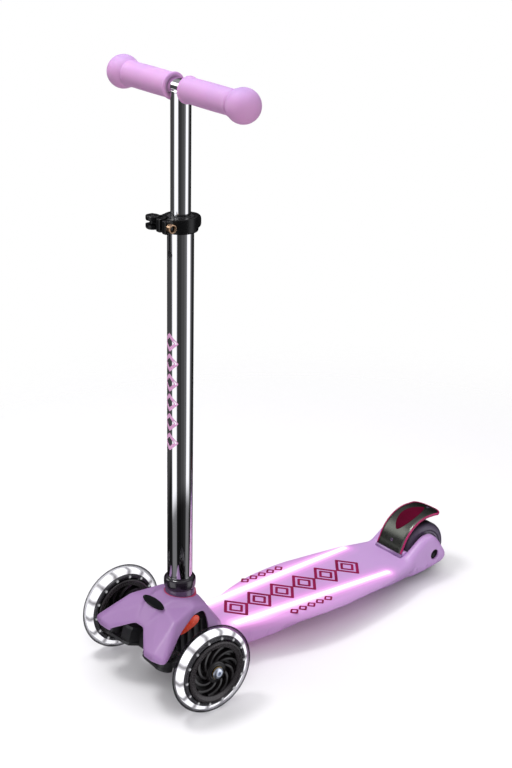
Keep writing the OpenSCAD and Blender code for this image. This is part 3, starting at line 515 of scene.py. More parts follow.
wall = m.ramp(m.axes()[0].calc("ABSOLUTE") * 40, (0.52, 0), (0.8, 1))
m.set(Base_Color=m.mix(wall, m.mix(m.noise(24), (0.006, 0.0055, 0.007), (0.014, 0.013, 0.016)),
                       (0.085, 0.062, 0.11)))
M_REAR_HUB = Mat("rear_hub", ((0.08, 0.058, 0.105), (0.12, 0.09, 0.15), 40), (0.24, 0.4, 900, 0.08), Coat_Weight=0.3,
                 Coat_Roughness=0.2)
M_FENDER = Mat("fender_black", ((0.075, 0.08, 0.07), (0.105, 0.11, 0.098), 22), (0.24, 0.36, 1100, 0.12), 1)
M_TRIM = Mat("magenta_trim", ((0.3, 0.006, 0.08), (0.42, 0.012, 0.12), 30), (0.2, 0.34, 900, 0.05))
M_PAD = Mat("burgundy_pad", ((0.07, 0.0006, 0.012), (0.1, 0.001, 0.018), 40), (0.5, 0.64, 1600, 0.3, 0.00012),
            Specular_IOR_Level=0.03)
M_INLAY = Mat("burgundy_inlay", ((0.18, 0.002, 0.042), (0.26, 0.004, 0.066), 40), (0.36, 0.52, 1400, 0.2),
              Specular_IOR_Level=0.15)
M_DECAL = Mat("pink_print", ((0.68, 0.34, 0.58), (0.76, 0.4, 0.66), 40), (0.4, 0.52, 900, 0.08),
              Specular_IOR_Level=0.3)

# small lenses: bright in the middle, dark at their edge
LENS_RUN, LIGHTS = 0.0462, 14
M_LENS = m = Mat("lit_lens", (0.1, 0.1, 0.1), (0.25, 0.4, 600, 0.05), Emission_Strength=0.75)
_, y, z = m.axes()
y, z = y - Y0, z - FZ / 1000
turn = z.calc("ARCTAN2", y) * (LIGHTS / 2 / pi) + 7.5
along = (turn.calc("FRACT") - 0.5) * (2 * pi * LENS_RUN / LIGHTS)
far = along.hypot(y.hypot(z) - LENS_RUN)
m.set(Emission_Color=m.ramp(far / 0.0026, (0, 1), (0.35, (0.6, 0.6, 0.62)), (1, 0.02)))
# lit ring: bright stretches with softer, greyer gaps
M_RING = m = Mat("light_ring", None, (0.3, 0.42, 600, 0.04), Emission_Strength=1)
_, y, z = m.axes()
turn = (z - FZ / 1000).calc("ARCTAN2", y - Y0) * (LIGHTS / (2 * pi)) + 7
off = (turn.calc("FRACT") - 0.5).calc("ABSOLUTE")
m.set(Emission_Color=m.ramp(off, (0, 1), (0.27, (0.95, 0.95, 0.96)), (0.4, (0.48, 0.47, 0.48)), (0.5, 0.15)),
      Base_Color=m.ramp(off, (0.3, (0.5, 0.5, 0.52)), (0.45, (0.2, 0.19, 0.21))))
M_STRIP = m = Mat("light_strip", (0.6, 0.4, 0.58), (0.22, 0.36, 700, 0.04), Emission_Strength=0.85)
x, y, _ = m.axes()
core = strip_distance(x, y) / (strip_share(y) * -0.001 + 0.0066)
m.set(Emission_Color=m.ramp(core, (0, (1, 0.98, 1)), (0.55, (1, 0.88, 0.98)), (0.8, (0.95, 0.5, 0.86)),
                            (1, (0.8, 0.28, 0.66))))

# ---- front wheels
HALF = 11.7
RIM = FZ - 17
BLADES, SWEEP = 10, radians(58)
WEB_IN, WEB_OUT = 13.5, RIM - 8.6


def across(q, a, n, half):
    """A section at radius q and angle a, laid along n; half goes round one side of it."""
    p = Vector((q * cos(a), q * sin(a)))
    return [(*(p + n * s), h) for s, h in half + [(-s, -h) for s, h in half]]


def blade_row(turn, t):
    reach = WEB_OUT - WEB_IN
    q = WEB_IN + reach * t
    a = turn - SWEEP * t ** 1.2
    d = -SWEEP * 1.2 * t ** 0.2 / reach
    run = Vector((cos(a) - q * d * sin(a), sin(a) + q * d * cos(a))).normalized()
    w = 1.3 + 1 * t + 0.8 * (1 - t) ** 3 + 8 * max(0, t - 0.8) ** 2
    top, c = 8.6 + 1.3 * sin(pi * t) + 0.4 * t, 0.6
    return across(q, a, Vector((-run.y, run.x)), [(-w, c - top), (c - w, -top), (-w * 0.3, -top - 0.05),
                                                  (w * 0.3, -top - 0.05), (w - c, -top), (w, c - top), (w + 0.5, 0)])


def tine_row(turn, t):
    a = turn + 0.84 * pi / BLADES - radians(6) - radians(22) * t
    w, top, c = 0.6 + 0.7 * t, 6.4 + 2.4 * t, 0.5
    return across(23.5 + (WEB_OUT - 23.5) * t, a, Vector((-sin(a - 0.45), cos(a - 0.45))),
                  [(-w, c - top), (c - w, -top), (w - c, -top), (w, c - top)])


for side, word in SIDES:
    at = mirror(side, move(TRACK, 0, FZ) @ TURN_X)
    carrier, body = "carrier_" + word, "wheel_" + word

    # cast clear tyre: round tread, shoulders and a foot that grips the rim
    foot = [(RIM + 0.15, -10.3), (44.6, -11), (46.6, -11.35), (48.6, -11.2)]
    tread = arc(FZ - 12, 0, 12, -72, 72, 28)[1:-1]
    prof = foot + tread + [(r, -h) for r, h in foot[::-1]]
    to_object(new(lathe, prof, 128), "tyre_" + word, M_TYRE, body, "clear_tyre", "front_tyre_" + word, 60, at)

    # dark carrier ring, the lit ring round it and the small lenses in its flanks
    prof = both([(44.2, -8.4), (45, -9.2), (47.4, -9.2), (48.4, -8.2), (49, -6.2)])
    to_object(new(lathe, prof, 112), "light_carrier_" + word, M_CARRIER, body, "wheel_light", "wheel_light_" + word,
              40, at)
    prof = rounded([(48.9, -5.4), (55, -5.4), (55, 5.4), (48.9, 5.4)], [0.5, 2.6, 2.6, 0.5], 6)
    to_object(new(lathe, prof, 168), "light_ring_" + word, M_RING, body, "wheel_light", "", 60, at)
    bm = bmesh.new()
    for i in range(2 * LIGHTS):
        a = 2 * pi * (i // 2 + 0.5) / LIGHTS
        s = 1 if i % 2 else -1
        lathe(bm, [(0, 0.9), (1.3, 0.8), (2.1, 0.5), (2.4, -0.5), (0, -0.5)], 24,
              move(46.2 * cos(a), 46.2 * sin(a), s * 8.9) @ Matrix.Scale(s, 4, (0, 0, 1)))
    to_object(bm, "lenses_" + word, M_LENS, body, "wheel_light", "", 60, at)

    # hub: rim with lips, dished web, swept blades with short tines between, and a stepped boss
    half = [(RIM - 0.6, -9.4), (RIM - 8.8, -9.4), (RIM - 9.2, -4), (RIM - 10, -2.6), (18, -2.2), (16.4, -3.2),
            (15.8, -5), (15.4, -9.4), (14.8, -10.4), (13.6, -10.9), (12.8, -11), (12.5, -10.6), (12.1, -10.6),
            (11.8, -11.4), (11.2, -HALF), (10.6, -HALF), (10.2, -11), (6.4, -11)]
    bm = new(lathe, both(half), 112)
    for row, steps in ((blade_row, 14), (tine_row, 7)):
        for i in range(BLADES):
            grid(bm, [row(2 * pi * i / BLADES, k / steps) for k in range(steps + 1)], cap=True)
    to_object(bm, "hub_" + word, M_HUB, body, "hub_black", "front_hub_" + word, 38, at)
    lip = [(RIM, -10.2), (RIM - 0.4, -11), (RIM - 1.4, -HALF), (RIM - 2.6, -HALF), (RIM - 3.2, -11.2),
           (RIM - 3.7, -11), (RIM - 7.6, -10.7), (RIM - 8.5, -10.2), (RIM - 8.9, -9.2), (RIM - 8.9, -8.8), (RIM, -8.8)]
    to_object(new(pair, lip, 112), "rim_" + word, M_RIM, body, "hub_black", "", 38, at)

    # bearing shields in the boss
    bm = new(pair, [(4.1, 10.2), (5.9, 10.2), (6.1, 10.7), (6.4, 10.75), (9.6, 10.75), (9.9, 10.4), (10.3, 10.4),
                    (10.3, 4), (4.1, 4)], 64)
    to_object(bm, "bearing_" + word, M_STEEL, body, "steel", "front_bearings_" + word, 35, at)

    # washers and the domed axle bolt with its hexagon socket
    bm = bmesh.new()
    for r, lo, hi in ((6.5, -HALF - 1.8, -HALF), (8.5, HALF, HALF + 1)):
        lathe(bm, [(4.05, lo + 0.2), (4.25, lo), (r - 0.25, lo), (r, lo + 0.25), (r, hi - 0.25), (r - 0.25, hi),
                   (4.25, hi), (4.05, hi - 0.2)], 64)
    to_object(bm, "washers_" + word, M_GOLD, carrier, "washer_gold", "axle_washers_" + word, 35, at)
    z = HALF + 1
    bm = new(lathe, [(0, -27), (3.5, -27), (4, -26.5), (4, z), (7.6, z), (7.95, z + 0.3), (8, z + 1.2),
                     (7.6, z + 2), (6.6, z + 2.9), (5.2, z + 3.5), (3.6, z + 3.6), (0, z + 3.6)], 72)
    bm = carve(bm, new(prism, arc(0, 0, 2.9, 0, 300, 5), z + 0.7, z + 6))
    to_object(bm, "axle_bolt_" + word, M_BOLT, carrier, "bolt_silver", "front_axle_" + word, 30, at)

# ---- T-bar
LOWER_R, UPPER_R, WALL = 16.5, 12.5, 2
TUBE_TOP, SOCKET_Z, SOCKET_TOP = 632, FZ + 4, FZ + 68
BAR = move(0, 0, BAR_Z) @ TURN_X
LOWER, UPPER = "tbar_lower", "tbar_upper"


def column_object(bm, *args, at=Matrix(), **options):
    """A piece placed along the raked column; at is its own place there."""
    return to_object(bm, *args, matrix=COL @ at, **options)


def tube(bm, r, z0, z1):
    """A tube with rounded lips."""
    lip, bore = 0.5, r - WALL
    end = [(r - lip * 0.3, lip * 0.3), (r - lip, 0), (bore + lip * 0.5, 0), (bore, lip * 0.5)]
    lathe(bm, [(r, z0 + lip), (r, z1 - lip)] + [(q, z1 - h) for q, h in end] + [(q, z0 + h) for q, h in end[::-1]], 128)


key = [(-1.5, 60), (-1.5, 4.4)] + arc(0, 0, 4.6, 112, 428, 28) + [(1.5, 4.4), (1.5, 60)]
bm = carve(new(tube, LOWER_R, SOCKET_Z + 2, TUBE_TOP),
           new(prism, key, 0, 30, matrix=move(0, 0, TUBE_TOP - 45) @ tilt(90)))
column_object(bm, "lower_tube_skin", M_CHROME, LOWER, "chrome_tube", "lower_tube", sharp=30)
prof = [(LOWER_R - WALL, -54), (LOWER_R - WALL, 0), (LOWER_R - 0.3, 0), (LOWER_R, 0.4), (LOWER_R, 1.1),
        (LOWER_R - 0.4, 1.5), (UPPER_R + 0.3, 1.5), (UPPER_R + 0.05, 1.2), (UPPER_R + 0.05, -54)]
column_object(new(lathe, prof), "tube_sleeve", M_NYLON, LOWER, "black_plastic", "tube_bush", at=move(0, 0, TUBE_TOP))


def between(a, b, t):
    return tuple(p + (q - p) * t for p, q in zip(a, b))


def fine(pts, k):
    """The closed outline with k steps to each edge."""
    return [between(a, b, j / k) for a, b in zip(pts, pts[1:] + pts[:1]) for j in range(k)]


def diamond(bm, cx, cy, hx, hy, line, lift=0.35, k=1):
    """Raised diamond outline on the XY plane."""
    edges = []
    for q, r in ((1, 2), (1 - hypot(hx, hy) * line / (hx * hy), 1)):
        corners = [(cx - hx * q, cy), (cx, cy - hy * q), (cx + hx * q, cy), (cx, cy + hy * q)]
        edges.append(fine(rounded(corners, r, 3), k))
    rows = [[(*between(a, b, t), h) for a, b in zip(*edges)] for t, h in
            ((0, -0.3), (0, lift * 0.7), (0.12, lift), (0.88, lift), (1, lift * 0.7), (1, -0.3))]
    grid(bm, rows, closed_u=True)


# printed band of diamonds wrapped round the front of the tube
bm = bmesh.new()
for k in range(6):
    diamond(bm, 0, 340 + 26.8 * k, 13.6, 12.6, 4.3, 0.12, 6)
for v in bm.verts:
    a, q = v.co.x / LOWER_R - pi / 2, LOWER_R + v.co.z
    v.co = (q * cos(a), q * sin(a), v.co.y)
column_object(bm, "tube_print", M_DECAL, LOWER, "chrome_tube", sharp=50)

# collar that rests on the socket: rolled upper lip over a straight skirt
R = 21
prof = [(LOWER_R, 0), (R - 2.2, 0), (R - 1.2, 0.4), (R - 0.5, 1.6), (R - 0.2, 3.4), (R, 6.5), (R, 9)] + \
    arc(R - 5, 10.8, 5, 0, 108, 12) + [(LOWER_R, 14)]
column_object(new(lathe, prof, 112), "collar", M_COLLAR, LOWER, "gloss_black", "base_collar", sharp=45,
              at=move(0, 0, SOCKET_TOP))

# upper tube with its saddle cut, the bar, and the weld between them
BAR_R = 11
bm = carve(new(tube, UPPER_R, TUBE_TOP - 160, BAR_Z), rod(BAR_R, -40, 40, 96, BAR))
column_object(bm, "upper_tube_skin", M_CHROME, UPPER, "chrome_tube", "upper_tube", sharp=30)
rows = []
for k in range(96):
    a = 2 * pi * k / 96
    y = (UPPER_R + 0.1) * sin(a)
    p = Vector(((UPPER_R + 0.1) * cos(a), y * 0.97, BAR_Z - sqrt(BAR_R ** 2 - max(-10.6, min(10.6, y)) ** 2)))
    n = Vector((cos(a), sin(a), -0.5)).normalized()
    b = n.cross(Vector((-sin(a), cos(a), 0)))
    rows.append([tuple(p + n * u + b * v) for u, v in arc(0, 0, 1.35 + 0.12 * sin(a * 17), 0, 324, 9)])
column_object(new(grid, rows, closed_u=True), "weld", M_CHROME, UPPER, "chrome_tube", sharp=180)
prof = both([(9.6, -115.5), (BAR_R - 0.4, -115.5), (BAR_R, -115)])
column_object(new(lathe, prof), "bar_skin", M_CHROME, UPPER, "chrome_tube", "handlebar", sharp=30, at=BAR)

# grips: end flange, barrel that swells towards the ball, closed ball end
BALL, BALL_R = 116.65, 20.85
prof = [(11.05, 13.2), (14.8, 13), (16, 13.3), (16.6, 14.1), (16.75, 15.2), (16.4, 16.4), (15.75, 17.4),
        (15.45, 18.8)]
prof += [(15.4 + 0.25 * sin(pi * (z - 18.8) / 76), z) for z in range(24, 95, 6)]
prof += [(15.5, 95.5), (15.9, 98.2), (16.8, 100.6)] + arc(0, BALL, BALL_R, -46, 84, 26)
prof += [(0, BALL + BALL_R - h) for h in (0, 3)] + [(8, BALL + BALL_R - 6), (11.05, BALL - 2)]
for side, word in SIDES:
    column_object(new(lathe, prof, 112), "grip_sleeve_" + word, M_GRIP, UPPER, "grip_rubber", "grip_" + word,
                  sharp=180, at=mirror(side, BAR))

# ---- clamp
EAR_Y, CAM_X, BOLT_Z = -24.5, -23, 9.5
CLAMP = move(0, 0, CLAMP_Z)
BOLT = move(0, EAR_Y, BOLT_Z) @ TURN_X
PIN = move(CAM_X, EAR_Y, 0)

bm = new(lathe, [(21.7, 0.9), (21.7, 18.1), (20.8, 19), (15, 19), (15, 0), (20.8, 0)])
prism(bm, arc(0, 13.9, 14, -20, 200, 22), 1.2, 18.4, 5.5, 5)
for x0, x1 in ((-11, -1), (1, 11)):
    slab(bm, x0, x1, EAR_Y - 5.8, -10, 1.2, 17.8, 3.5)
bm = carve(remesh(bm, 0.7, 7), rod(LOWER_R, -2, 22, 128), new(slab, -2, 2, -45, 0, -2, 22, 0.1),
           rod(2.6, -30, 30, 32, BOLT))
column_object(bm, "clamp_body", M_CLAMP, LOWER, "clamp_black", "clamp_band", sharp=40, at=CLAMP)

# bolt, cross pin and the bronze nut with its socket
bm = rod(2.5, CAM_X + 3, 12.6, 40, BOLT)
lathe(bm, [(2.5, -3), (3.6, -3), (4.2, -2.2), (4.2, 2.2), (3.6, 3), (2.5, 3)], 40, move(CAM_X, EAR_Y, BOLT_Z))
column_object(bm, "clamp_stud", M_CLAMP, LOWER, "steel", "clamp_bolt", at=CLAMP)
NUT = CLAMP @ move(11, EAR_Y, BOLT_Z) @ TURN_X
prof = [(0, 0), (5.2, 0), (5.7, 0.5), (5.7, 6.1), (5.1, 6.9), (4.5, 7), (3.9, 6.7), (3.4, 6), (3.2, 1.2), (0, 1)]
column_object(new(lathe, prof, 64), "clamp_nut_skin", M_BRONZE, LOWER, "bronze", "clamp_nut", at=NUT)
bm = new(prism, arc(0, 0, 2.75, 0, 300, 5), 1.1, 4.6, 0.4, 2)
column_object(bm, "bolt_end", M_CLAMP, LOWER, "steel", at=NUT)

# lever: cam barrel, curved arm hugging the band and a forked thumb end
CAM_R = 8.7
bm = new(lathe, [(0, 1.2), (CAM_R - 1, 1.2), (CAM_R, 2.2), (CAM_R, 16.8), (CAM_R - 1, 17.8), (0, 17.8)], 48, PIN)
outer_arm = [(26.2 - 0.5 * sin(pi * k / 24), radians(214 - 94 * k / 24)) for k in range(25)]
outline = arc(0, 0, 22.9, 214, 120, 24) + [(r * cos(a), r * sin(a)) for r, a in outer_arm[::-1]]
root = [(CAM_X - 6, EAR_Y), (CAM_X - 1, EAR_Y + 3), (-19.6, -12.2), (-22, -11.2)]
for form in (outline, rounded(root, 2, 3)):
    prism(bm, form, 2.4, 16.6, 1.2, 3)
fork = [(CAM_X - 9, EAR_Y - 6.5), (CAM_X + 4, EAR_Y - 8), (CAM_X + 4, EAR_Y + 5), (CAM_X - 9, EAR_Y + 7)]
for z0, z1 in ((1, 8.2), (10.8, 18)):
    prism(bm, rounded(fork, 4.5, 5), z0, z1, 1.8, 4)
bm = carve(remesh(bm, 0.6, 5), new(slab, CAM_X - 14, CAM_X + 12, EAR_Y - 14, EAR_Y + 6, 6.7, 12.3, 2),
           rod(2.5, -1, 20, 32, PIN))
column_object(bm, "lever", M_CLAMP, "clamp_lever", "clamp_black", "clamp_lever", sharp=40, at=CLAMP)
prof = [(0, 0.6), (2.1, 0.6), (2.45, 0.9), (2.45, 18.1), (2.1, 18.4), (0, 18.4)]
column_object(new(lathe, prof, 40, PIN), "lever_pin_skin", M_CLAMP, LOWER, "steel", "lever_pin", at=CLAMP)

# ---- front cover
CROWN = 62
BODY = [(8, -35, 31), (14, -16, CROWN - 10), (16, 5, CROWN - 5), (18, 25, CROWN - 6), (15, 41, CROWN - 11),
        (35, 22, CROWN - 12), (33, 40, CROWN - 17), (40, 52, 20), (40, 12, 34), (28, 66, 10), (40, 52, 2), (28, 70, -2)]
WING = [(6, -8, CROWN - 9), (8, -35, 31), (35, 20, CROWN - 12), (32, 10, 32), (47, -18, CROWN - 16), (50, -16, 38),
        (61, -38, 27), (71, -54.3, 17), (69, -55.3, 12), (58, -58.3, 21), (41.5, -58, 18), (41.5, -58, 12)]


def cover_form(r, depth):
    """Body and wings with edges rounded by r, carried down by depth for the cuts."""
    bm = bmesh.new()
    forms = [[(s * x, y, z) for s in (1, -1) for x, y, z in BODY]]
    forms += [[(s * x, y, z) for x, y, z in WING] for s in (1, -1)]
    for form in forms:
        ball_hull(bm, [(x, y, FZ + z - d, r) for d in (0, depth) for x, y, z in form])
    return bm


EDGE_R, SHELL_T = 5, 2.6
outer = remesh(cover_form(EDGE_R, 30), 1.4, 20)
inner = remesh(cover_form(EDGE_R - SHELL_T, 90), 1.8, 16)
edge = curve([(-75, 14.5), (-60, 15), (-46, 18.5), (-34, 25), (-22, 33), (-8, 39), (8, 43), (22, 45.5), (31, 45.5),
              (36, 42), (38, 34), (39, 20), (41, -10)], 4)
cut_side = new(prism, [(-90, FZ - 95), (-90, FZ + 14.5)] + [(y, FZ + z) for y, z in edge] + [(41, FZ - 95)],
               -110, 110, matrix=ALONG_X)
bay = [(-38.5, 17), (-10, 32), (10, 32), (38.5, 17), (38.5, -95), (-38.5, -95)]
notch = new(prism, rounded(bay, [2, 4, 4, 2, 1, 1], 5), -40, 40, matrix=move(0, -50, FZ) @ tilt(90))
deck_cut = new(prism, [(-100, 0), (100, 0), (100, 130), (-100, 130)], -90, 0.3, matrix=DECK)
SOCKET = COL @ move(0, 0, SOCKET_Z)
GASKET_Z = FZ + 53
GASKET = move(0, 23 + GASKET_Z * tan(radians(RAKE)), GASKET_Z) @ tilt(-8)
BADGE = move(0, -16.5, FZ + CROWN - 5) @ tilt(22)


def teardrop(grow):
    r, q, d = 21.7 + grow, 1 + grow, 24.5
    lean = degrees(asin((r - q) / d))
    return arc(0, 0, r, 180 - lean, 360 + lean, 64) + arc(0, d, q, lean, 180 - lean, 12)


oval = [(22 * x, 6.2 * y) for x, y in arc(0, 0, 1, 0, 355, 71)]
shell = carve(outer, inner, cut_side, notch, deck_cut, rod(19.8, 0, 90, 96, SOCKET),
              new(prism, teardrop(0), 0, 30, matrix=GASKET), new(prism, oval, 0, 20, matrix=BADGE))
to_object(shell, "cover_shell", M_SHELL, "root", "lilac_shell", "front_cover", sharp=32)

# gasket: teardrop ring with a soft bead round the sleeve
bm = carve(new(prism, teardrop(-0.1), 0.2, 6.3, 0.8, 3, matrix=GASKET), rod(19.55, 0, 90, 96, SOCKET))
to_object(bm, "gasket", M_MAGENTA, "root", "magenta_rubber", "cover_gasket", sharp=40)

# blank oval badge, domed, with a fine raised border
rows = [[(s * x, s * y, h) for x, y in oval] for s, h in
        ((0.999, 0), (0.999, 1.5), (0.985, 1.85), (0.95, 1.95), (0.925, 1.8), (0.91, 1.6), (0.75, 1.85),
         (0.5, 2.1), (0.25, 2.25), (0.02, 2.3))]
to_object(new(grid, rows, cap=True), "badge_plate", M_GLOSS, "root", "gloss_black", "badge", sharp=60, matrix=BADGE)

# sleeve under the collar, translucent-looking, with a parting groove
z0, z1 = SOCKET_Z, SOCKET_TOP
prof = [(LOWER_R + 0.05, z0), (19.3, z0), (19.5, z0 + 0.4), (19.5, z1 - 12.6), (19.1, z1 - 12.2), (19.5, z1 - 11.8),
        (19.5, z1 - 2.4), (19, z1 - 1.2), (18.2, z1 - 0.2), (18, z1), (LOWER_R + 0.05, z1)]
column_object(new(lathe, prof, 112), "sleeve", M_SMOKE, "root", "smoked_plastic", "column_socket", sharp=40)

# release pad: crowned finger rest with ribs, on its stem
PAD_X = 39.6
PAD = move(0, 20, FZ + 37) @ tilt(25) @ ALONG_X
pad = [(-29.2, -2.8), (-23, -5.2), (-4, -8), (6, -5.5), (7, 3), (0, 7.6), (-20, 3.4)]
bm = new(prism, rounded(pad, [3, 3, 6, 6, 6, 6, 3], 6), PAD_X, PAD_X + 2.4, 0.9, 3, PAD)
for k in range(4):
    slab(bm, -3.4 - k * 4.6, -1.6 - k * 4.6, -3.4 + k * 0.3, 3 - k * 0.3, PAD_X + 1, PAD_X + 2.65, 0.7, PAD)
lathe(bm, [(0, 23.2), (2.6, 23.2), (2.95, 23.6), (2.95, PAD_X + 0.5), (0, PAD_X + 0.5)], 40,
      move(0, 20, FZ + 37) @ TURN_X)
to_object(bm, "release_pad", M_RED, "release_button", "red_plastic", "release_button", sharp=40)

# ---- deck
D0, D1, DW = 58, BASE - RZ - 5, 71.5
# along the deck: share of its length, share of its half width, height of the skirt's foot from the rear axle, tuck
STATIONS = [(0, 0.47, -16, 5), (0.06, 0.475, -19, 5), (0.13, 0.545, -20, 6), (0.2, 0.67, -17, 8),
            (0.275, 0.81, -12, 10), (0.37, 0.935, -5, 12), (0.465, 0.99, 0, 13), (0.56, 1, 1, 13),
            (0.665, 0.95, -2, 12), (0.765, 0.89, -9, 10), (0.86, 0.82, -14, 8), (0.93, 0.74, -18, 7), (1, 0.65, -20, 6)]
HINGE_Y = BASE - RZ - 6.5
HINGE = move(0, HINGE_Y, deck_top(HINGE_Y) + 4.7)
HUB = move(0, BASE, RZ) @ TURN_X
BOX_FRONT, BOX_REAR = 180, 276


def deck_side(s, inset, plate, n=12):
    """Half section from the flat top to the rim, inset from the outer skin."""
    y = D0 + s[0] * (D1 - D0)
    w, top, low, tuck = s[1] * DW, deck_top(y), RZ + s[2], s[3]
    e = 10 * min(1, 0.5 + 2.5 * s[0])
    turns = [pi / 2 * (1 - k / n) for k in range(n + 1)]
    pts = [(w - e + (e - inset) * cos(a), top - e + (e - plate) * sin(a)) for a in turns]
    x0, z0 = pts[-1]
    x1 = w - tuck - inset
    pts += [(x0 + (x1 - x0) * (k / 6) ** 1.25, z0 + (low - z0) * k / 6) for k in range(1, 7)]
    return y, pts


def deck_solid(inset, plate, extra):
    """The deck's outside, or with an inset its hollow, carried down by extra."""
    rows = []
    for s in curve(STATIONS, 8):
        y, pts = deck_side(s, inset, plate)
        half = [(pts[0][0] * k / 8, y, pts[0][1]) for k in range(8)] + [(x, y, z) for x, z in pts]
        if extra:
            half.append((pts[-1][0], y, pts[-1][1] - extra))
        rows.append([(-x, y, z) for x, _, z in half[:0:-1]] + half)
    if inset:
        rows[0] = [(x, y - 8, z) for x, y, z in rows[0]]
    return new(grid, rows, cap=True)


def block(bm, x, y0, y1, top):
    """A block across the deck's rear, from x to the other side."""
    prism(bm, [(-x, y0), (x, y0), (x, y1), (-x, y1)], RZ - 20, top)


ARM = [(-62, -1), (-38, 17), (-22, 28), (-9, 31.5), (0, 30), (9, 22), (19, 7), (27, -8), (22, -17), (12, -20),
       (-7, -22), (-28, -24), (-56, -22)]
arm = curve(ARM[-1:] + ARM + ARM[:2], 4)[4:4 + 4 * len(ARM)]
bm = deck_solid(0, 0, 0)
block(bm, 40, D1 - 14, D1 - 0.6, deck_top(D1) - 1)
for s in (1, -1):
    tmp = bmesh.new()
    for x, k in ((27, 1), (31, 1), (35, 0.995), (38.6, 0.97), (41, 0.92), (42, 0.87)):
        for y, z in arm:
            tmp.verts.new((s * x, BASE + y * k, RZ + z * k))
    for y, z in ((D1 - 14, RZ - 14), (D1 - 2, RZ - 14), (D1 - 14, RZ - 2), (D1 - 2, RZ - 2)):
        tmp.verts.new((s * 44.5, y, z))
    hull(bm, tmp)
bm = remesh(bm, 1.5, 0)
# soften the join of arms and deck most, so that the long top stays flat
for times, ahead in ((24, False), (5, True)):
    part = [v for v in bm.verts if (v.co.y <= D1 - 50) == ahead]
    for _ in range(times):
        bmesh.ops.smooth_vert(bm, verts=part, factor=0.5, use_axis_x=True, use_axis_y=True, use_axis_z=True)
wheel_gap = new(prism, [(-27, D1 - 0.6), (27, D1 - 0.6), (27, BASE + 60), (-27, BASE + 60)], 0, 110)
axle_hole = new(lathe, both([(0, -60), (8, -60), (8, -38), (4.05, -38)]), 56, HUB)
bm = carve(carve(bm, wheel_gap, axle_hole), deck_solid(3, 4, 30))

# ribs, end wall and hinge lugs
ribs = bmesh.new()
for k in range(13):
    y = 114 + 22 * k
    a = 28 if BOX_FRONT - 6 < y < BOX_REAR + 6 else 0
    b = DW * lookup((y - D0) / (D1 - D0), [s[:2] for s in STATIONS]) - 5
    for x0, x1 in ((a, b), (-b, -a)):
        slab(ribs, x0, x1, y - 1, y + 1, -11, -2, 0.4, DECK)
for x in (27, -27):
    slab(ribs, x - 1, x + 1, 114, D1 - 6, -11, -2, 0.4, DECK)
block(ribs, 38, D1 - 11.8, D1 - 0.7, deck_top(D1) - 2.2)
lug = arc(0, 0, 4.4, -10, 190, 20) + [(-4.4, -6.6), (4.4, -6.6)]
for x0, x1 in ((-28, -20.5), (-3.25, 3.25), (20.5, 28)):
    prism(ribs, lug, x0, x1, 0.5, 2, HINGE @ ALONG_X)
add_mesh(bm, to_mesh(ribs))
to_object(bm, "deck_shell", M_DECK, "root", "lilac_shell", "deck", sharp=32)


# light strips: tapered guides with a crowned top
def strip_edge(grow):
    fx, fy, bx, by = 32.5, 96, 46.5, D1 - 55
    a = degrees(atan2(bx - fx, by - fy))
    return arc(fx, fy, 5.5 + grow, 180 - a, 360 - a, 14) + arc(bx, by, 4.5 + grow, -a, 180 - a, 14)


rows = [[(x, y, h) for x, y in strip_edge(g)] for g, h in ((0, -2), (0, 0.1), (-0.35, 0.35), (-1.2, 0.45))]
for side, word in SIDES:
    to_object(new(grid, rows, cap=True), "strip_" + word, M_STRIP, "root", "light_strip", "light_strip_" + word,
              sharp=50, matrix=mirror(side, DECK))

# raised grip inlay: a band of nested diamonds down the middle, small ones outside the strips
bm = bmesh.new()
for k in range(6):
    diamond(bm, 0, 121 + 41 * k, 26.5, 21.3, 4.2)
    diamond(bm, 0, 121 + 41 * k, 14.6, 12.2, 3.6)
for s in (1, -1):
    for k in range(5):
        diamond(bm, s * 54, 180 + 15.5 * k, 7.6, 7.8, 2.6)
to_object(bm, "grip_inlay", M_INLAY, "root", "lilac_shell", sharp=50, matrix=DECK)

# battery box, its lid lines and button under the deck
BUTTON = DECK @ move(0, 228, 0)
bm = new(slab, -24, 24, BOX_FRONT, BOX_REAR, -17, -4, 3, DECK)
for y in (BOX_FRONT + 4, BOX_REAR - 36):
    slab(bm, -21, 21, y, y + 32, -17.6, -16.5, 1.5, DECK)
bm = carve(bm, rod(6.3, -19, -13.4, 48, BUTTON))
to_object(bm, "battery_case", M_NYLON, "root", "black_plastic", "battery_box")
bm = new(lathe, [(0, -18.4), (4.6, -18.4), (5.6, -18.1), (6, -17.5), (6, -15), (0, -15)], 48, BUTTON)
to_object(bm, "power_cap", M_MAGENTA, "power_button", "magenta_rubber", "power_button", sharp=40)

# ---- rear wheel
w = 22
prof = [(29.2, 0.6 - w), (30.2, -w)] + arc(31, -13, 9, -90, 0, 10) + [(40, -8), (40, 0), (40, 8)] + \
    arc(31, 13, 9, 0, 90, 10) + [(30.2, w), (29.2, w - 0.6)]
to_object(new(lathe, prof, 112, HUB), "rear_tread", M_REAR_TYRE, "rear_wheel", "rear_tyre", "rear_tyre", sharp=60)
bm = new(lathe, both([(29, -20.4), (28.4, -21), (26.2, -21), (25.4, -20.2), (25, -19.2), (15.4, -19.2), (14.8, -20),
                      (14, -21), (11.6, -21), (11, -20.6), (9.6, -20.6)]), 96, HUB)
SPOKES = 8
for i in range(SPOKES):
    for z in (18.6, -20.4):
        slab(bm, 14.4, 25.6, -1.3, 1.3, z, z + 1.8, 0.6, HUB @ Matrix.Rotation(2 * pi * i / SPOKES, 4, "Z"))
to_object(bm, "rear_core", M_REAR_HUB, "rear_wheel", "rear_hub", "rear_hub")
bm = new(pair, [(7.95, 38.1), (7.9, 39.6), (7.4, 40.3), (5.6, 40.6), (4.8, 40.1), (0, 40), (0, 38.1)], 56, HUB)
to_object(bm, "caps", M_GLOSS, "root", "gloss_black", "axle_caps")

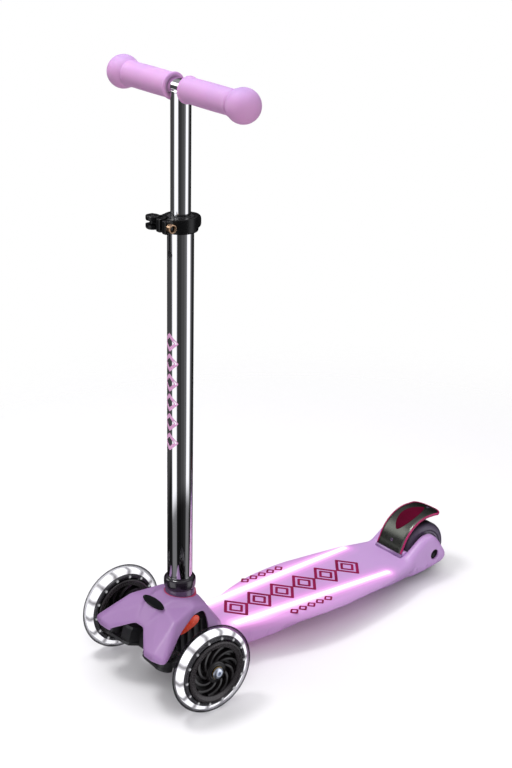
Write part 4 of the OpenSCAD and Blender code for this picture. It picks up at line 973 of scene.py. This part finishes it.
# ---- brake
FR = RZ + 11.2 + 3
FY, FZC = BASE + 2, RZ + 2
TRAIL_END = 36.5
HW = 24
# the fender from the side, and the run along it at each point
side_view = curve([(-55.9, 9.3), (-54.1, 13.4), (-52.6, 16.1), (-51.2, 18.6)] + arc(0, 0, FR, 156, 84, 12) +
                  [(14, FR - 0.9), (22, FR - 2.7), (29, FR - 4.9), (37, FR - 9)], 6)
run = [0]
for p, q in zip(side_view, side_view[1:]):
    run.append(run[-1] + hypot(q[0] - p[0], q[1] - p[1]))
Y_AT = [(u, y) for u, (y, z) in zip(run, side_view)]
Z_AT = [(u, z) for u, (y, z) in zip(run, side_view)]
RUN_AT = [(y, u) for u, y in Y_AT]
FOOT = lookup(FR * cos(radians(156)), RUN_AT)


def on_fender(x, s, lift=0):
    """Point at run s along the side view, lifted off the outer face."""
    a, b = (Vector((lookup(q, Y_AT), lookup(q, Z_AT))) for q in (s - 0.4, s + 0.4))
    t = (b - a).normalized()
    c = (a + b) / 2 + Vector((-t.y, t.x)) * lift
    return Vector((x, FY + c.x, FZC + c.y))


def run_end(x, inset=0):
    """Run at which the plate ends: a bowed free edge with rounded corners."""
    e = abs(x) / 25.5
    return lookup(TRAIL_END - inset - 17 * e * e - 3.2 * max(0, (e - 0.76) / 0.24) ** 3, RUN_AT)


# round the plate's section: share of the half width, and depth below the outer face
rim = [(0.3, 0), (0.6, 0), (0.8, 0), (0.94, -0.1), (0.985, -0.6), (1, -1.7)]
back = [(0.985, -2.7), (0.94, -3), (0.6, -3), (0.3, -3)]
section = [(-f, d) for f, d in rim[::-1]] + [(0, 0)] + rim + back + [(0, -3)] + [(-f, d) for f, d in back[::-1]]
rows = []
for k in range(73):
    t = k / 72
    rise = -1.2 * max(0, (t - 0.985) / 0.015) ** 2
    rows.append([on_fender(f * HW, t * run_end(f * HW, 1.2), d + (rise if d > -1.7 else -rise)) for f, d in section])
to_object(new(grid, rows, cap=True), "fender_plate", M_FENDER, "brake", "fender_black", "brake_fender", sharp=40)
bm = bmesh.new()
for s in (1, -1):
    lathe(bm, [(2.05, 9.2), (3.6, 9.2), (4.4, 9.8), (4.4, 17), (3.6, 17.6), (2.05, 17.6)], 40,
          HINGE @ Matrix.Rotation(s * pi / 2, 4, "Y"))
for x in (9.4, -17.4):
    prism(bm, rounded([(-5.2, 1), (0.5, -1), (1, 9), (-2.4, 10.6)], 1, 2), x, x + 8, 0.5, 2, HINGE @ ALONG_X)
to_object(bm, "fender_foot", M_FENDER, "brake", "fender_black", sharp=40)

# leaf-shaped foot pad, proud of the plate, with a rounded border
half = [(-1, -0.9), (-1, 0.15), (-0.96, 0.45), (-0.88, 0.6), (-0.5, 0.62)]
rows = []
for k in range(49):
    t = 0.003 + 0.994 * k / 48
    hw = 13.2 * sin(pi * t ** 0.92) ** 0.72
    rows.append([on_fender(hw * f, FOOT + 16.4 + 61 * t, d) for f, d in
                 half + [(0, 0.62)] + [(-f, d) for f, d in half[::-1]]])
to_object(new(grid, rows, cap=True), "foot_pad", M_PAD, "brake", "fender_pad", "fender_pad", sharp=50)

# trim bead up one edge, round the free end and down the other
x1 = HW + 0.35
outline = [(-x1, 0.2 + k / 40 * (run_end(x1) - 0.2)) for k in range(41)]
outline += [(x, run_end(x)) for x in [-x1 * cos(pi * k / 48) for k in range(1, 48)]]
outline += [(x1, s) for _, s in outline[40::-1]]
rows = []
for (x, s), a, b in zip(outline, outline[:1] + outline, outline[1:] + outline[-1:]):
    p = on_fender(x, s, -1.5)
    n = (on_fender(x, s, 0.5) - p).normalized()
    side = (on_fender(*b, -1.5) - on_fender(*a, -1.5)).normalized().cross(n)
    rows.append([tuple(p + side * (1.15 * u) + n * (1.95 * v)) for u, v in arc(0, 0, 1, 0, 360 * 13 / 14, 13)])
to_object(new(grid, rows, cap=True), "trim", M_TRIM, "brake", "fender_trim", "fender_trim", sharp=180)

# one screw at the foot and one near the free edge
bm = bmesh.new()
for x, s in ((0, FOOT - 0.6), (1, FOOT + 84.5)):
    p = on_fender(x, s, -0.35)
    n = on_fender(x, s, 0.65) - p
    lathe(bm, [(0, 0.1), (0.9, 0.1), (1.1, 0.55), (2, 0.7), (2.4, 0.45), (2.5, -0.4), (0, -0.4)], 32,
          Matrix.Translation(p) @ n.to_track_quat("Z", "X").to_matrix().to_4x4())
to_object(bm, "fender_screws", M_SMOKE, "brake", "fender_black")

# smoked lip in front of the hinge
lip = [(-9.6, -5.2), (-9.4, -3.6), (-8.4, -1.2), (-7, 0.4), (-5.6, 0.9), (-4.9, 0.4), (-4.9, -5.2)]
bm = new(prism, rounded(lip, [0.1, 1.5, 1.5, 1.5, 0.9, 0.6, 0.1], 3), -26.8, 26.8, 0.8, 3, HINGE @ ALONG_X)
to_object(bm, "hinge_lip", M_LIP, "root", "lilac_shell", sharp=50)

# ---- CAD pieces that stay
for mat, names in ((M_NYLON, "front_housing bay_floor knuckle_left knuckle_right tube_plug tube_foot"),
                   (M_STEEL, "housing_screws kingpins tie_rod tie_pins_left tie_pins_right steering_spring_left "
                             "steering_spring_right rear_bearings rear_axle rear_spacers brake_shoe hinge_pin "
                             "brake_spring")):
    for name in names.split():
        nodes[name].data.materials.clear()
        nodes[name].data.materials.append(mat.m)

for side, word in SIDES:
    bpy.data.objects["light_ring_" + word].visible_glossy = False

# ---- stage and light
scene.view_settings.view_transform = "Standard"
world = bpy.data.worlds.new("studio")
scene.world = world
world.use_nodes = True
world.node_tree.nodes.clear()
w = Graph(world.node_tree, "Generated")
x, y, z = w.axes()


def azimuth(deg):
    """Where a reflection goes on the ramp: deg to the right of the camera, seen from the object."""
    back = degrees(atan2(-fwd.y, -fwd.x))
    return ((back + deg) / 360 + 0.5) % 1


# softboxes and dark flags round the object, for what mirrors them
stops = [(-180, 0.01), (-146, 0.012), (-138, 0.07), (-78, 0.075), (-66, 1.45), (-32, 1.45), (-24, 0.045), (8, 0.05),
         (12, 0.085), (34, 0.09), (38, 0.15), (55, 0.17), (62, 1.45), (87, 1.45), (97, 0.2), (116, 0.03)]
bands = w.ramp(y.calc("ARCTAN2", x) * (1 / (2 * pi)) + 0.5,
               *[(p, (c, c, c * 1.04)) for p, c in sorted((azimuth(a), c) for a, c in stops)])
# the bands end above the floor, so steep downward reflections are dim
dim = w.mix(1, bands, w.smooth(z, -0.56, -0.5, 0.16, 1), "MULTIPLY")
# overhead softbox for upward reflections, and a raised one seen in the front slope of the fender
env = w.mix(w.ramp(z, (0.35, 0), (0.6, 1)), dim, (0.4, 0.4, 0.42))
raised = w.node("VectorMath", {0: w.pos, 1: Vector((-0.714, -0.493, 0.503)).normalized()}, "Value",
                operation="DOT_PRODUCT")
studio = w.node("Background", {"Color": w.mix(w.smooth(raised, 0.962, 0.985), env, (3, 3, 3))})
sky = w.ramp(z, (0, (0.4, 0.4, 0.41)), (0.5, (0.5, 0.5, 0.51)), (1, (1.3, 1.3, 1.3)))
soft = w.node("Background", {"Color": sky, "Strength": 0.95})
white = w.node("Background", {"Color": (1, 1, 1), "Strength": 1})
shine, through, seen = (w.node("LightPath", out="Is %s Ray" % kind) for kind in ("Glossy", "Transmission", "Camera"))
lit = w.blend(seen, w.blend(shine.calc("MAXIMUM", through), soft, studio), white)
w.put(lit, w.t.nodes.new("ShaderNodeOutputWorld").inputs["Surface"])

# floor: white, keeps the shadow, and fades into the background
me = bpy.data.meshes.new("floor")
me.from_pydata([(-3, -3, 0), (3, -3, 0), (3, 3, 0), (-3, 3, 0)], [], [(0, 1, 2, 3)])
floor = place("floor", me)
floor.location = (0, 0, -0.0004)
floor.visible_glossy = False
m = Mat("floor", (0.86, 0.85, 0.87), 0.9)
fade = m.smooth(m.node("VectorMath", {0: m.pos}, "Value", operation="LENGTH"), 0.55, 1.1)
under = m.node("NewGeometry", out="Backfacing")
m.surface(m.blend(fade.calc("MAXIMUM", under), m.shader, m.node("BsdfTransparent")))
me.materials.append(m.m)

for name, loc, aim, size, power, mirrored in (("key", (-0.42, -0.5, 1.8), (0, -0.05, 0), 0.5, 11.5, True),
                                              ("back", (-0.2, 0.4, 1.9), (0, -0.05, 0), 1.4, 4.5, True),
                                              ("front", (1.3, -0.9, 1.2), (0, 0, 0.2), 1.3, 10, False)):
    lamp = bpy.data.lights.new(name, "AREA")
    lamp.shape, lamp.size, lamp.energy = "DISK", size, power
    o = place(name, lamp)
    o.location = loc
    o.rotation_mode = "QUATERNION"
    o.rotation_quaternion = (Vector(aim) - Vector(loc)).to_track_quat("-Z", "Y")
    o.visible_glossy = mirrored
